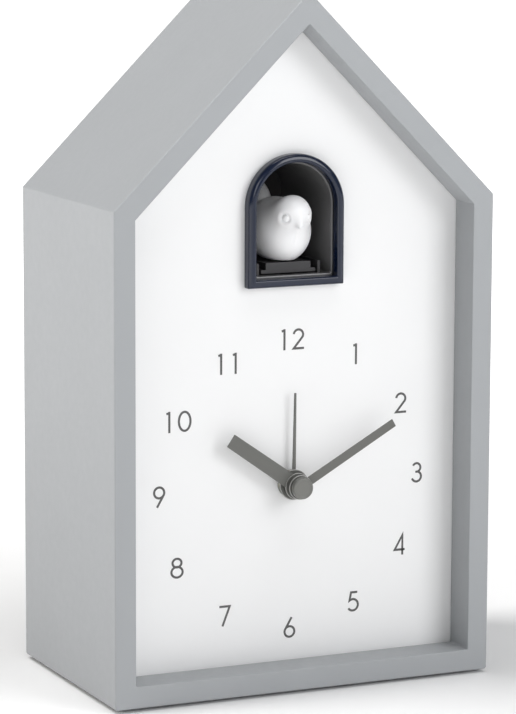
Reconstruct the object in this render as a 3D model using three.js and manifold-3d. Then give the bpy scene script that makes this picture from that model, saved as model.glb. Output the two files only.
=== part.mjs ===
// Cuckoo alarm clock in a small house-shaped case.
// Millimetres, +Z up. The dial faces -Y, and the origin is under the middle of the case,
// on the surface that the clock stands on.

import * as THREE from 'three';
import { mergeVertices } from 'three/addons/utils/BufferGeometryUtils.js';
import Module from 'manifold-3d';

const wasm = await Module();
wasm.setup();

// ---------------------------------------------------------------- driving dimensions

const GAP = 0.3; // between neighbouring pieces
const WIDTH = 120;
const DEPTH = 72;
const HEIGHT = 204; // to the ridge of the 45 degree roof
const CASE_BOTTOM = 1; // the feet hold the case this far up
const RIM = 6.5; // width of the front rim
const SKIN = 2.5; // wall of the case behind the rim
const RECESS = 11.4; // from the rim's front to the dial

const FRONT_Y = -DEPTH / 2;
const BACK_Y = DEPTH / 2;
const DIAL_Y = FRONT_Y + RECESS;
const PANEL_BACK_Y = DIAL_Y + 1.5;
const DIAL_Z = 60.4; // height of the arbor

const COVER_T = 3;
const COVER_Y = BACK_Y - COVER_T;
const INSIDE_Y = COVER_Y - GAP; // rear end of what stands behind the cover

const WINDOW_HALF = 15.2; // half the width of the window frame
const WINDOW_BOTTOM = 119;
const WINDOW_SPRING = 142.1; // centre of the arch
const FRAME_PROUD = 3.7; // how far the frame stands in front of the dial
const LIP_PROUD = 0.4; // how far the niche's lip stands in front of the dial
const NICHE_HALF = 12.3;
const NICHE_WALL = 1.5;
const NICHE_FLOOR = WINDOW_BOTTOM + WINDOW_HALF - NICHE_HALF;
const NICHE_BACK_Y = DIAL_Y + 34;

const BIRD_TRAVEL = 12;
const CARRIAGE_FRONT_Y = DIAL_Y + 2.1;
const CARRIAGE_TOP = NICHE_FLOOR + 3.4;

const HOUR_ANGLE = THREE.MathUtils.degToRad(305); // the hands show ten past ten
const MINUTE_ANGLE = THREE.MathUtils.degToRad(60);

const ARBOR_R = 0.9; // nested tubes of the movement, from the inside out
const HOUR_TUBE = [1.2, 1.8];
const ALARM_TUBE = [2.1, 2.7];
const BUSH = [3, 3.7];

const MOVEMENT_HALF = 28;
const MOVEMENT_FRONT_Y = PANEL_BACK_Y + GAP;
const MOVEMENT_BACK_Y = -5;
const TIME_STEM_X = -12; // axis of the intermediate wheel
const ALARM_STEM_X = 15;
const THIRD_Z = DIAL_Z + 11.2;

const RACK_MODULE = 0.8;
const RACK_PITCH_Z = 116.2;
const PINION_TEETH = 12;
const DRIVE_Y = -6; // axis of the drive gear
const DRIVE_Z = RACK_PITCH_Z - PINION_TEETH * RACK_MODULE / 2;
const RACK_SPAN = [DRIVE_Y - 3, DRIVE_Y + BIRD_TRAVEL + 4];
const DRIVE_TEETH = 28;
const MOTOR_TEETH = 10;
const DRIVE_MODULE = 0.5;
const MOTOR_Z = DRIVE_Z - 7.9;
const MOTOR_DISTANCE = (DRIVE_TEETH + MOTOR_TEETH) * DRIVE_MODULE / 2;
const MOTOR_Y = DRIVE_Y + Math.sqrt(MOTOR_DISTANCE ** 2 - (DRIVE_Z - MOTOR_Z) ** 2);

const BATTERY_R = 7.1;
const BATTERY_Y = 24.6;
const BATTERY_Z = [16.1, 34.6];
const DOOR = { half: 29, bottom: 10.2, top: 41.9, pivotY: BACK_Y - 1 };
const KNOB_R = 6.5;
const SWITCH_X = -34;
const ALARM_SWITCH_Z = 122;
const CHIME_SWITCH_Z = 108;
const BUTTON_Z = 94;
const BOARD_Y = 24;
const SPEAKER_X = 24;
const SPEAKER_Z = 112;
const SPEAKER_R = 20;
const SCREW_X = 51;
const SCREW_Z = [12, 136];

// ---------------------------------------------------------------- solids

function solid(geometry) {
  const bare = geometry.index ? geometry.toNonIndexed() : geometry.clone();
  bare.deleteAttribute('normal');
  bare.deleteAttribute('uv');
  const merged = mergeVertices(bare, 1e-4);
  const vertProperties = new Float32Array(merged.attributes.position.array);
  const triVerts = new Uint32Array(merged.index.array);
  return new wasm.Manifold(new wasm.Mesh({ numProp: 3, vertProperties, triVerts }));
}

function geometryOf(manifold) {
  const mesh = manifold.getMesh();
  const geometry = new THREE.BufferGeometry();
  geometry.setAttribute('position', new THREE.BufferAttribute(mesh.vertProperties, 3));
  geometry.setIndex(new THREE.BufferAttribute(mesh.triVerts, 1));
  return geometry;
}

function union(...solids) {
  return solids.reduce((whole, piece) => whole.add(piece));
}

function cut(whole, ...tools) {
  return tools.reduce((rest, tool) => rest.subtract(tool), whole);
}

function box([x0, x1], [y0, y1], [z0, z1]) {
  const geometry = new THREE.BoxGeometry(x1 - x0, y1 - y0, z1 - z0);
  geometry.translate((x0 + x1) / 2, (y0 + y1) / 2, (z0 + z1) / 2);
  return solid(geometry);
}

// A shape drawn in X and Z, extruded from y0 to y1.
function prismY(shape, y0, y1, curveSegments = 12) {
  const depth = y1 - y0;
  const geometry = new THREE.ExtrudeGeometry(shape, { depth, bevelEnabled: false, curveSegments });
  geometry.rotateX(Math.PI / 2);
  geometry.translate(0, y1, 0);
  return solid(geometry);
}

// A shape drawn in Y and Z, extruded from x0 to x1.
function prismX(shape, x0, x1) {
  const geometry = new THREE.ExtrudeGeometry(shape, { depth: x1 - x0, bevelEnabled: false });
  const axes = new THREE.Matrix4().makeBasis(
    new THREE.Vector3(0, 1, 0),
    new THREE.Vector3(0, 0, 1),
    new THREE.Vector3(1, 0, 0),
  );
  geometry.applyMatrix4(axes);
  geometry.translate(x0, 0, 0);
  return solid(geometry);
}

function rodY(radius, y0, y1, x = 0, z = 0, sides = 16) {
  const geometry = new THREE.CylinderGeometry(radius, radius, y1 - y0, sides);
  geometry.translate(x, (y0 + y1) / 2, z);
  return solid(geometry);
}

function rodX(radius, x0, x1, y, z, sides = 16) {
  const geometry = new THREE.CylinderGeometry(radius, radius, x1 - x0, sides);
  geometry.rotateZ(Math.PI / 2);
  geometry.translate((x0 + x1) / 2, y, z);
  return solid(geometry);
}

function tubeY(inner, outer, y0, y1, sides = 18) {
  return cut(rodY(outer, y0, y1, 0, 0, sides), rodY(inner, y0 - 1, y1 + 1, 0, 0, sides));
}

// A profile of [radius, y] points turned about the Y axis, from the front to the back.
function turnedY(points, sides = 32) {
  const profile = points.map(([radius, y]) => new THREE.Vector2(radius, y));
  return solid(new THREE.LatheGeometry(profile, sides));
}

function ellipsoid(rx, ry, rz, x, y, z, sides, rings) {
  const geometry = new THREE.SphereGeometry(1, sides, rings);
  geometry.rotateX(Math.PI / 2);
  geometry.scale(rx, ry, rz);
  geometry.translate(x, y, z);
  return solid(geometry);
}

// ---------------------------------------------------------------- outlines

// The outline of the house, moved inwards by a distance.
function houseShape(inset) {
  const bottom = CASE_BOTTOM + inset;
  const half = WIDTH / 2 - inset;
  const apex = HEIGHT - inset * Math.SQRT2;
  const shape = new THREE.Shape();
  shape.moveTo(-half, bottom);
  shape.lineTo(half, bottom);
  shape.lineTo(half, apex - half);
  shape.lineTo(0, apex);
  shape.lineTo(-half, apex - half);
  shape.closePath();
  return shape;
}

// The arched outline of the window, for a given half width.
function archShape(half) {
  const bottom = WINDOW_BOTTOM + WINDOW_HALF - half;
  const shape = new THREE.Shape();
  shape.moveTo(-half, bottom);
  shape.lineTo(half, bottom);
  shape.lineTo(half, WINDOW_SPRING);
  shape.absarc(0, WINDOW_SPRING, half, 0, Math.PI, false);
  shape.lineTo(-half, bottom);
  return shape;
}

// The outline of a spur gear with one tooth pointing at the angle `phase`.
function gearShape(teeth, module, phase) {
  const pitch = 2 * Math.PI / teeth;
  const root = module * (teeth / 2 - 1.05);
  const tip = module * (teeth / 2 + 0.8);
  const flank = [[root, -0.3], [tip, -0.11], [tip, 0.11], [root, 0.3]];
  const points = [];
  for (let tooth = 0; tooth < teeth; tooth += 1) {
    for (const [radius, share] of flank) {
      const angle = phase + (tooth + share) * pitch;
      points.push(new THREE.Vector2(radius * Math.cos(angle), radius * Math.sin(angle)));
    }
  }
  return new THREE.Shape(points);
}

// ---------------------------------------------------------------- materials

function plastic(color, roughness) {
  return new THREE.MeshStandardMaterial({ color, roughness, metalness: 0 });
}

function metal(color, roughness) {
  return new THREE.MeshStandardMaterial({ color, roughness, metalness: 1 });
}

const CASE_GREY = 0xa9adb1;
const DIAL_WHITE = 0xf4f4f4;
const FRAME_NAVY = 0x232c45;
const NICHE_BLACK = 0x1b1b1d;
const HAND_GREY = 0x6b6c68;
const BIRD_WHITE = 0xf3f3f3;
const SWITCH_BLACK = 0x222325;
const GEAR_WHITE = 0xe8e6dc;
const BOARD_GREEN = 0x2d5b3a;
const STEEL = 0xb9bcc0;
const BRASS = 0xc3a24e;

const clock = new THREE.Group();

function add(name, shape, material, parent = clock) {
  const mesh = new THREE.Mesh(geometryOf(shape), material);
  mesh.name = name;
  parent.add(mesh);
  return mesh;
}

// ---------------------------------------------------------------- case

function caseShell() {
  const body = prismY(houseShape(0), FRONT_Y, BACK_Y);
  const front = prismY(houseShape(RIM), FRONT_Y - 1, DIAL_Y);
  const inside = prismY(houseShape(SKIN), DIAL_Y - GAP, BACK_Y + 1);
  let shell = cut(body, front, inside);
  for (const side of [-1, 1]) {
    for (const z of SCREW_Z) {
      const inner = side * (SCREW_X - 4);
      const outer = side * (WIDTH / 2 - 1);
      const span = [Math.min(inner, outer), Math.max(inner, outer)];
      const boss = box(span, [18, INSIDE_Y], [z - 4, z + 4]);
      const pilot = rodY(1.1, 20, BACK_Y, side * SCREW_X, z, 12);
      shell = cut(shell.add(boss), pilot);
    }
  }
  return shell;
}

function dialPanel() {
  const panel = prismY(houseShape(SKIN + GAP), DIAL_Y, PANEL_BACK_Y);
  const window = prismY(archShape(WINDOW_HALF - 1), DIAL_Y - 1, PANEL_BACK_Y + 1);
  const arbor = rodY(BUSH[1] + GAP, DIAL_Y - 1, PANEL_BACK_Y + 1, 0, DIAL_Z);
  return cut(panel, window, arbor);
}

function windowFrame() {
  const front = DIAL_Y - FRAME_PROUD;
  const step = 0.7;
  const crown = prismY(archShape(WINDOW_HALF - step), front, front + step);
  const band = prismY(archShape(WINDOW_HALF), front + step, DIAL_Y - GAP);
  const sleeve = prismY(archShape(WINDOW_HALF - 1 - GAP), DIAL_Y - GAP, PANEL_BACK_Y);
  const lipFront = DIAL_Y - LIP_PROUD - GAP;
  const opening = prismY(archShape(WINDOW_HALF - 2.35), front - 1, lipFront + 0.5);
  const rebate = prismY(archShape(WINDOW_HALF - 2), lipFront, PANEL_BACK_Y + 1);
  return cut(union(crown, band, sleeve), opening, rebate);
}

function foot(x, y) {
  const geometry = new THREE.CylinderGeometry(4, 4, CASE_BOTTOM - GAP, 16);
  geometry.rotateX(Math.PI / 2);
  geometry.translate(x, y, (CASE_BOTTOM - GAP) / 2);
  return solid(geometry);
}

// ---------------------------------------------------------------- niche, bird and carriage

function nicheLiner() {
  const behind = PANEL_BACK_Y + GAP;
  const outer = NICHE_HALF + NICHE_WALL;
  const lip = prismY(archShape(NICHE_HALF + 0.6), DIAL_Y - LIP_PROUD, behind);
  const flange = prismY(archShape(outer + 3.7), behind, behind + 1.2);
  const tunnel = prismY(archShape(outer), behind, NICHE_BACK_Y + NICHE_WALL);
  const hollow = prismY(archShape(NICHE_HALF), DIAL_Y - 1, NICHE_BACK_Y);
  const slotFront = RACK_SPAN[0] - BIRD_TRAVEL - 0.4;
  const slot = box([-1.9, 1.9], [slotFront, -0.6], [NICHE_FLOOR - 3, NICHE_FLOOR + 1]);
  let liner = cut(union(lip, flange, tunnel), hollow, slot);
  for (const side of [-1, 1]) {
    const span = side < 0 ? [-10.3, -9.3] : [9.3, 10.3];
    const rail = box(span, [CARRIAGE_FRONT_Y - 0.1, 4], [NICHE_FLOOR - 0.5, CARRIAGE_TOP]);
    liner = liner.add(rail);
  }
  return liner;
}

function bird() {
  const seat = CARRIAGE_TOP + GAP;
  const bodyY = DIAL_Y + 9.6;
  const body = ellipsoid(8.9, 12, 9.5, 0, bodyY, seat + 9.2, 18, 11);
  const head = ellipsoid(5.4, 5.4, 5.4, 0, DIAL_Y - 0.7, 139.9, 12, 8);
  const beak = new THREE.ConeGeometry(1.1, 2.4, 6);
  beak.rotateX(1.9);
  beak.translate(0, DIAL_Y - 5.5, 137.1);
  const tail = new THREE.SphereGeometry(1, 10, 6);
  tail.scale(3.6, 1.9, 5.6);
  tail.rotateX(-0.75);
  tail.translate(0, DIAL_Y + 20.4, 143.2);
  const under = box([-12, 12], [-60, 20], [seat - 5, seat]);
  return cut(union(body, head, solid(beak), solid(tail)), under);
}

function rackShape() {
  const pitch = Math.PI * RACK_MODULE;
  const [front, back] = RACK_SPAN;
  const root = RACK_PITCH_Z + 1.05 * RACK_MODULE;
  const tip = RACK_PITCH_Z - 0.8 * RACK_MODULE;
  const top = NICHE_FLOOR - NICHE_WALL - GAP;
  const shape = new THREE.Shape();
  shape.moveTo(front, top);
  shape.lineTo(front, root);
  const count = Math.floor((back - DRIVE_Y) / pitch);
  for (let tooth = -1; tooth < count; tooth += 1) {
    const centre = DRIVE_Y + (tooth + 0.5) * pitch;
    shape.lineTo(centre - 0.3 * pitch, root);
    shape.lineTo(centre - 0.11 * pitch, tip);
    shape.lineTo(centre + 0.11 * pitch, tip);
    shape.lineTo(centre + 0.3 * pitch, root);
  }
  shape.lineTo(back, root);
  shape.lineTo(back, top);
  shape.closePath();
  return shape;
}

function birdCarriage() {
  const back = CARRIAGE_FRONT_Y + 22;
  const flangeTop = NICHE_FLOOR + 1.4;
  const flange = box([-8.7, 8.7], [CARRIAGE_FRONT_Y, back], [NICHE_FLOOR + GAP, flangeTop]);
  const block = box([-7.2, 7.2], [CARRIAGE_FRONT_Y, back], [flangeTop - 0.2, CARRIAGE_TOP]);
  const keelBottom = NICHE_FLOOR - NICHE_WALL - GAP - 0.2;
  const keel = box([-1.5, 1.5], [RACK_SPAN[0], -1], [keelBottom, flangeTop]);
  return union(flange, block, keel, prismX(rackShape(), -2.5, 2.5));
}

// ---------------------------------------------------------------- hands

// A hand pointing up, turned about the arbor: hub disc, collar and blade.
function hand({ y, thick, hub, collar, bore, back, blade }) {
  const disc = tubeY(bore, hub, y, y + thick);
  const neck = tubeY(bore, collar, y + thick / 2, back);
  return cut(union(disc, neck, blade), rodY(bore, y - 1, back + 1, 0, 0, 18));
}

function straightBlade(rootHalf, tipHalf, length, y, thick) {
  const shape = new THREE.Shape();
  shape.moveTo(-rootHalf, 0);
  shape.lineTo(rootHalf, 0);
  shape.lineTo(tipHalf, length);
  shape.lineTo(-tipHalf, length);
  shape.closePath();
  return prismY(shape, y, y + thick);
}

function hourHand() {
  const y = DIAL_Y - 5.2;
  const blade = straightBlade(2.2, 2, 26, y, 0.5);
  return hand({ y, thick: 0.5, hub: 3.9, collar: 2.9, bore: 2.1, back: y + 2.2, blade });
}

function minuteHand() {
  const y = DIAL_Y - 7.2;
  const blade = straightBlade(1.3, 1.2, 34.6, y, 0.5);
  return hand({ y, thick: 0.5, hub: 3.6, collar: 2.4, bore: 1.2, back: y + 1.7, blade });
}

function alarmHand() {
  const y = DIAL_Y - 2.7;
  const blade = straightBlade(0.45, 0.45, 27.1, y, 0.5);
  return hand({ y, thick: 0.5, hub: 4.5, collar: 3.5, bore: 3, back: y + 1.3, blade });
}

function hubCap() {
  const front = DIAL_Y - 9.3;
  const back = DIAL_Y - 7.2 - GAP;
  return turnedY([[0, front], [2.8, front], [3.3, front + 0.4], [3.3, back], [0, back]], 24);
}

// ---------------------------------------------------------------- movement

const LAYER = {
  alarm: [-20.9, -19.7],
  hour: [-19.3, -18.1],
  minute: [-17.5, -16.3],
  centre: [-15.5, -14.3],
  third: [-13.5, -12.3],
};

function movementFront() {
  const span = [-MOVEMENT_HALF, MOVEMENT_HALF];
  const back = MOVEMENT_FRONT_Y + 1.5;
  const plate = box(span, [MOVEMENT_FRONT_Y, back], [-MOVEMENT_HALF, MOVEMENT_HALF]);
  const bush = rodY(BUSH[1], DIAL_Y + GAP, back);
  const bore = rodY(BUSH[0], DIAL_Y - 1, back + 1);
  const ears = box([-34, 34], [MOVEMENT_FRONT_Y, back], [-5, 5]);
  const holes = [-31, 31].map((x) => rodY(1.3, MOVEMENT_FRONT_Y - 1, back + 1, x, 0, 12));
  return cut(union(plate, bush, ears), bore, ...holes);
}

function movementRear() {
  const outer = MOVEMENT_HALF;
  const inner = MOVEMENT_HALF - 1.5;
  const front = MOVEMENT_FRONT_Y + 1.5 + GAP;
  const shell = box([-outer, outer], [front, MOVEMENT_BACK_Y], [-outer, outer]);
  const inside = box([-inner, inner], [front - 1, MOVEMENT_BACK_Y - 1.5], [-inner, inner]);
  const stems = [TIME_STEM_X, ALARM_STEM_X].map((x) => rodY(1.9, -8, 0, x, 0, 16));
  return cut(shell, inside, ...stems);
}

function centerWheel() {
  const arbor = rodY(ARBOR_R, DIAL_Y - 7.2 + 0.1, -8, 0, 0, 16);
  const cannon = prismY(gearShape(10, 0.6, Math.PI), LAYER.minute[0] - 0.4, LAYER.centre[0] + 0.2);
  const wheel = prismY(gearShape(48, 0.4, 0), ...LAYER.centre);
  return union(arbor, cannon, wheel);
}

function minuteWheel() {
  const stem = rodY(1.5, LAYER.minute[0], 31.5, 0, 0, 16);
  const wheel = prismY(gearShape(30, 0.6, Math.PI / 30), ...LAYER.minute);
  const pinion = prismY(gearShape(8, 0.6, 0), LAYER.hour[0] - 0.2, LAYER.minute[0] + 0.2);
  return union(stem, wheel, pinion);
}

function hourWheel() {
  const wheel = prismY(gearShape(32, 0.6, Math.PI + Math.PI / 32), ...LAYER.hour);
  const tube = rodY(HOUR_TUBE[1], DIAL_Y - 5.2 + 0.1, LAYER.hour[1]);
  return cut(union(wheel, tube), rodY(HOUR_TUBE[0], -40, 0));
}

function alarmWheel() {
  const wheel = prismY(gearShape(30, 2 / 3, 0), ...LAYER.alarm);
  const tube = rodY(ALARM_TUBE[1], DIAL_Y - 2.7 + 0.1, LAYER.alarm[1]);
  return cut(union(wheel, tube), rodY(ALARM_TUBE[0], -40, 0));
}

function alarmStem() {
  const stem = rodY(1.5, LAYER.alarm[0], 31.5, 0, 0, 16);
  const pinion = prismY(gearShape(15, 2 / 3, Math.PI + Math.PI / 15), ...LAYER.alarm);
  return union(stem, pinion);
}

function thirdWheel() {
  const arbor = rodY(0.8, LAYER.centre[0] - 1, -8, 0, 0, 12);
  const phase = -Math.PI / 2 + Math.PI / 8;
  const pinion = prismY(gearShape(8, 0.4, phase), LAYER.centre[0] - 0.3, LAYER.third[0] + 0.2);
  const wheel = prismY(gearShape(24, 2 / 3, 0), ...LAYER.third);
  return union(arbor, pinion, wheel);
}

function stepperModule() {
  const core = box([-13, 13], [-16.5, -12], [-20, -17]);
  const bobbin = rodX(3.6, -8, 8, -14.2, -18.5, 20);
  const flanges = [-8.5, 8.5].map((x) => rodX(4.4, x - 0.6, x + 0.6, -14.2, -18.5, 20));
  const stator = box([13, 21], [-18, -9], [-23, -14]);
  return union(core, bobbin, ...flanges, stator.add(box([12, 14], [-16.5, -12], [-20, -17])));
}

function knob(x) {
  const grip = [];
  const flutes = 14;
  for (let side = 0; side < flutes * 2; side += 1) {
    const radius = side % 2 === 0 ? KNOB_R : KNOB_R - 0.6;
    const angle = side * Math.PI / flutes;
    grip.push(new THREE.Vector2(radius * Math.cos(angle), radius * Math.sin(angle)));
  }
  const body = prismY(new THREE.Shape(grip), 28.5, 35.5);
  const skirt = rodY(4, 26.5, 29);
  const bore = rodY(1.8, 25, 32, 0, 0, 16);
  const pointer = box([-0.5, 0.5], [35.1, 36], [1.5, 5.2]);
  const piece = cut(union(body, skirt), bore, pointer);
  return piece.translate([x, 0, 0]);
}

// ---------------------------------------------------------------- bird drive

function driveGear() {
  const pinion = prismX(gearShape(PINION_TEETH, RACK_MODULE, 0), -2.2, 3.3);
  const towardsMotor = Math.atan2(MOTOR_Z - DRIVE_Z, MOTOR_Y - DRIVE_Y);
  const gear = prismX(gearShape(DRIVE_TEETH, DRIVE_MODULE, towardsMotor), 3.2, 5.2);
  return union(pinion, gear, rodX(1, -4.4, 6.6, 0, 0));
}

function motorPinion() {
  const towardsGear = Math.atan2(DRIVE_Z - MOTOR_Z, DRIVE_Y - MOTOR_Y);
  const phase = towardsGear + Math.PI / MOTOR_TEETH;
  const pinion = prismX(gearShape(MOTOR_TEETH, DRIVE_MODULE, phase), 3, 5.3);
  return pinion.add(rodX(0.75, 2.7, 9, 0, 0, 12));
}

function driveBracket() {
  const top = NICHE_FLOOR - NICHE_WALL - GAP;
  const span = [DRIVE_Y - 6, DRIVE_Y + 13];
  const left = box([-4.6, -3.4], span, [98, top]);
  const right = box([5.6, 6.6], span, [98, top]);
  const bridge = box([-4.6, 6.6], span, [96.5, 98.2]);
  const flangeLeft = box([-11, -3.4], span, [top - 1.2, top]);
  const flangeRight = box([5.6, 13], span, [top - 1.2, top]);
  const axle = rodX(1.3, -6, 8, DRIVE_Y, DRIVE_Z);
  const shaft = rodX(1.9, 4, 8, MOTOR_Y, MOTOR_Z);
  return cut(union(left, right, bridge, flangeLeft, flangeRight), axle, shaft);
}

function motor() {
  const can = rodX(6.2, 6.9, 24, MOTOR_Y, MOTOR_Z, 24);
  const endCap = rodX(4, 23.8, 25.5, MOTOR_Y, MOTOR_Z, 16);
  const bore = rodX(1.05, 5, 10, MOTOR_Y, MOTOR_Z, 12);
  return cut(can.add(endCap), bore);
}

function homeSensor() {
  const body = box([-3, 3], [11, 15], [106, 114]);
  const fork = box([-3, 3], [10.6, 15], [113.5, 119.8]);
  const slot = box([-4, 4], [10, 13.5], [115, 121]);
  return cut(union(body, fork), slot);
}

// ---------------------------------------------------------------- rear cover and controls

function speakerSlots() {
  const slots = [];
  for (let row = -3; row <= 3; row += 1) {
    const z = SPEAKER_Z + row * 4.6;
    const half = Math.sqrt(16.5 ** 2 - (row * 4.6) ** 2);
    slots.push(box([SPEAKER_X - half, SPEAKER_X + half], [COVER_Y - 1, BACK_Y + 1], [z - 1, z + 1]));
  }
  return slots;
}

function rearCover() {
  const through = [COVER_Y - 1, BACK_Y + 1];
  const plate = prismY(houseShape(SKIN + GAP), COVER_Y, BACK_Y);
  const doorHalf = DOOR.half + GAP;
  const tools = [
    box([-doorHalf, doorHalf], through, [DOOR.bottom - 1 - GAP, DOOR.top + GAP]),
    rodX(0.9, -doorHalf - 1.5, doorHalf + 1.5, DOOR.pivotY, DOOR.bottom, 12),
    rodY(9, BACK_Y - 1.2, BACK_Y + 1, 0, DOOR.top + 2, 32),
    box([-26.5, 26.5], through, [DIAL_Z - 11.5, DIAL_Z + 11.5]),
    rodY(3.3, ...through, SWITCH_X, BUTTON_Z),
    ...speakerSlots(),
  ];
  for (const z of [ALARM_SWITCH_Z, CHIME_SWITCH_Z]) {
    tools.push(box([SWITCH_X - 5, SWITCH_X + 5], through, [z - 1.8, z + 1.8]));
    tools.push(box([SWITCH_X - 8, SWITCH_X + 8], [BACK_Y - 1.5, BACK_Y + 1], [z - 3.5, z + 3.5]));
  }
  for (const side of [-1, 1]) {
    for (const z of SCREW_Z) {
      tools.push(rodY(1.2, ...through, side * SCREW_X, z, 12));
      tools.push(rodY(3.1, BACK_Y - 1.6, BACK_Y + 1, side * SCREW_X, z, 20));
    }
  }
  return cut(plate, ...tools);
}

function crossScrew(x, z, tipY, headY, radius) {
  const shaft = rodY(0.8, tipY, headY + 0.2, x, z, 10);
  const head = rodY(radius, headY, headY + 1.2, x, z, 16);
  const slotA = box([x - 1.3, x + 1.3], [headY + 0.6, headY + 2], [z - 0.3, z + 0.3]);
  const slotB = box([x - 0.3, x + 0.3], [headY + 0.6, headY + 2], [z - 1.3, z + 1.3]);
  return cut(shaft.add(head), slotA, slotB);
}

function batteryDoor() {
  const plate = box([-DOOR.half, DOOR.half], [BACK_Y - 2, BACK_Y], [DOOR.bottom, DOOR.top]);
  const knuckle = rodX(1, -DOOR.half, DOOR.half, DOOR.pivotY, DOOR.bottom, 16);
  const pins = rodX(0.6, -DOOR.half - 1.4, DOOR.half + 1.4, DOOR.pivotY, DOOR.bottom, 12);
  const grip = rodY(7, BACK_Y - 1, BACK_Y + 1, 0, DOOR.top - 4, 24);
  return cut(union(plate, knuckle, pins), grip);
}

// A box with one open side, towards the cover.
function openTray(halfX, [z0, z1], y0, wall) {
  const shell = box([-halfX - wall, halfX + wall], [y0 - wall, INSIDE_Y], [z0 - wall, z1 + wall]);
  return cut(shell, box([-halfX, halfX], [y0, INSIDE_Y + 1], [z0, z1]));
}

function batteryHolder() {
  const tray = openTray(29.8, [7.7, 43], 17.2, 1.2);
  const middle = (BATTERY_Z[0] + BATTERY_Z[1]) / 2;
  return tray.add(box([-28.4, 28.4], [17, 24], [middle - 0.6, middle + 0.6]));
}

function controlCup() {
  const tray = openTray(26.5, [DIAL_Z - 11.5, DIAL_Z + 11.5], 24, 1.2);
  const stems = [TIME_STEM_X, ALARM_STEM_X].map((x) => rodY(2.2, 20, 26, x, DIAL_Z, 16));
  return cut(tray, ...stems);
}

function battery(z, towards) {
  const can = rodX(BATTERY_R, -24.8, 24.8, BATTERY_Y, z, 24);
  const tip = towards > 0 ? [24.6, 25.8] : [-25.8, -24.6];
  return can.add(rodX(2.7, ...tip, BATTERY_Y, z, 16));
}

// A conical contact spring that stands on a plate and points along X.
class SpringCurve extends THREE.Curve {
  constructor(x, z, towards) {
    super();
    this.x = x;
    this.z = z;
    this.towards = towards;
  }

  getPoint(t, target = new THREE.Vector3()) {
    const angle = t * 3 * 2 * Math.PI;
    const radius = 4 - 1.6 * t;
    return target.set(
      this.x + this.towards * 3.2 * t,
      BATTERY_Y + radius * Math.cos(angle),
      this.z + radius * Math.sin(angle),
    );
  }
}

function spring(x, z, towards) {
  const section = new THREE.Shape();
  section.absarc(0, 0, 0.35, 0, 2 * Math.PI, false);
  const extrudePath = new SpringCurve(x, z, towards);
  const options = { steps: 21, curveSegments: 3, bevelEnabled: false, extrudePath };
  return solid(new THREE.ExtrudeGeometry(section, options));
}

function contactPlate(side, z0, z1) {
  const span = side < 0 ? [-29.5, -28.9] : [28.9, 29.5];
  return box(span, [19, 30], [z0, z1]);
}

function speakerFrame() {
  return turnedY([
    [SPEAKER_R, INSIDE_Y - 1.5],
    [SPEAKER_R, INSIDE_Y],
    [16.8, INSIDE_Y],
    [16.8, INSIDE_Y - 0.3],
    [9.2, 25.6],
    [7, 25.6],
    [7, 24.4],
    [10, 24.4],
    [17.6, INSIDE_Y - 1.5],
    [SPEAKER_R, INSIDE_Y - 1.5],
  ], 22);
}

function speakerCone() {
  return turnedY([
    [0, 28.6],
    [3, 27.6],
    [6, 26.3],
    [16, INSIDE_Y - 0.4],
    [16, INSIDE_Y],
    [6, 27.1],
    [3.6, 28],
    [0, 29.2],
  ], 22);
}

function speakerMagnet() {
  return turnedY([[0, 17.5], [9, 17.5], [9, 24.1], [6.6, 24.1], [6.6, 25.4], [0, 25.4]], 22);
}

function mainBoard() {
  const board = box([-48, -12], [BOARD_Y, BOARD_Y + 1.6], [86, 130]);
  const holes = [[-45, 89], [-45, 127], [-15, 89], [-15, 127]];
  return cut(board, ...holes.map(([x, z]) => rodY(1.4, 20, 30, x, z, 10)));
}

function soundChip() {
  const body = box([-36, -24], [21.6, 23.4], [98, 110]);
  const legs = [];
  for (let leg = 0; leg < 6; leg += 1) {
    const z = 99.2 + leg * 1.92;
    legs.push(box([-37.2, -22.8], [BOARD_Y - GAP - 0.4, BOARD_Y - GAP], [z - 0.3, z + 0.3]));
  }
  return union(body.add(box([-35, -25], [23.3, BOARD_Y - GAP], [98.5, 109.5])), ...legs);
}

const BOARD_BACK = BOARD_Y + 1.6 + GAP;

function switchBody(z) {
  const body = box([SWITCH_X - 7, SWITCH_X + 7], [BOARD_BACK, 31.5], [z - 3.2, z + 3.2]);
  return cut(body, box([SWITCH_X - 5.2, SWITCH_X + 5.2], [28.4, 33], [z - 1.7, z + 1.7]));
}

// The slider rests at the left end of its slot, as seen from the front.
function switchSlider(z) {
  const x = SWITCH_X - 2;
  const foot = box([x - 2.8, x + 2.8], [28.8, 31.2], [z - 1.3, z + 1.3]);
  const nub = box([x - 1.8, x + 1.8], [31, BACK_Y - 0.2], [z - 1.3, z + 1.3]);
  const groove = box([x - 0.3, x + 0.3], [BACK_Y - 0.7, BACK_Y], [z - 2, z + 2]);
  return cut(union(foot, nub), groove);
}

function testButton() {
  const stem = rodY(2.9, 29.4, BACK_Y - 0.2, SWITCH_X, BUTTON_Z);
  const collar = rodY(3.9, 31.3, INSIDE_Y - 0.2, SWITCH_X, BUTTON_Z);
  return stem.add(collar);
}

function tactSwitch() {
  const body = box([SWITCH_X - 3, SWITCH_X + 3], [BOARD_BACK, 27.4], [BUTTON_Z - 3, BUTTON_Z + 3]);
  return body.add(rodY(1.5, 27.2, 27.9, SWITCH_X, BUTTON_Z, 12));
}

// ---------------------------------------------------------------- assembly

const shellGrey = plastic(CASE_GREY, 0.5);
const black = plastic(SWITCH_BLACK, 0.5);
const white = plastic(GEAR_WHITE, 0.45);
const handPaint = plastic(HAND_GREY, 0.5);
const steel = metal(STEEL, 0.3);

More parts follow.
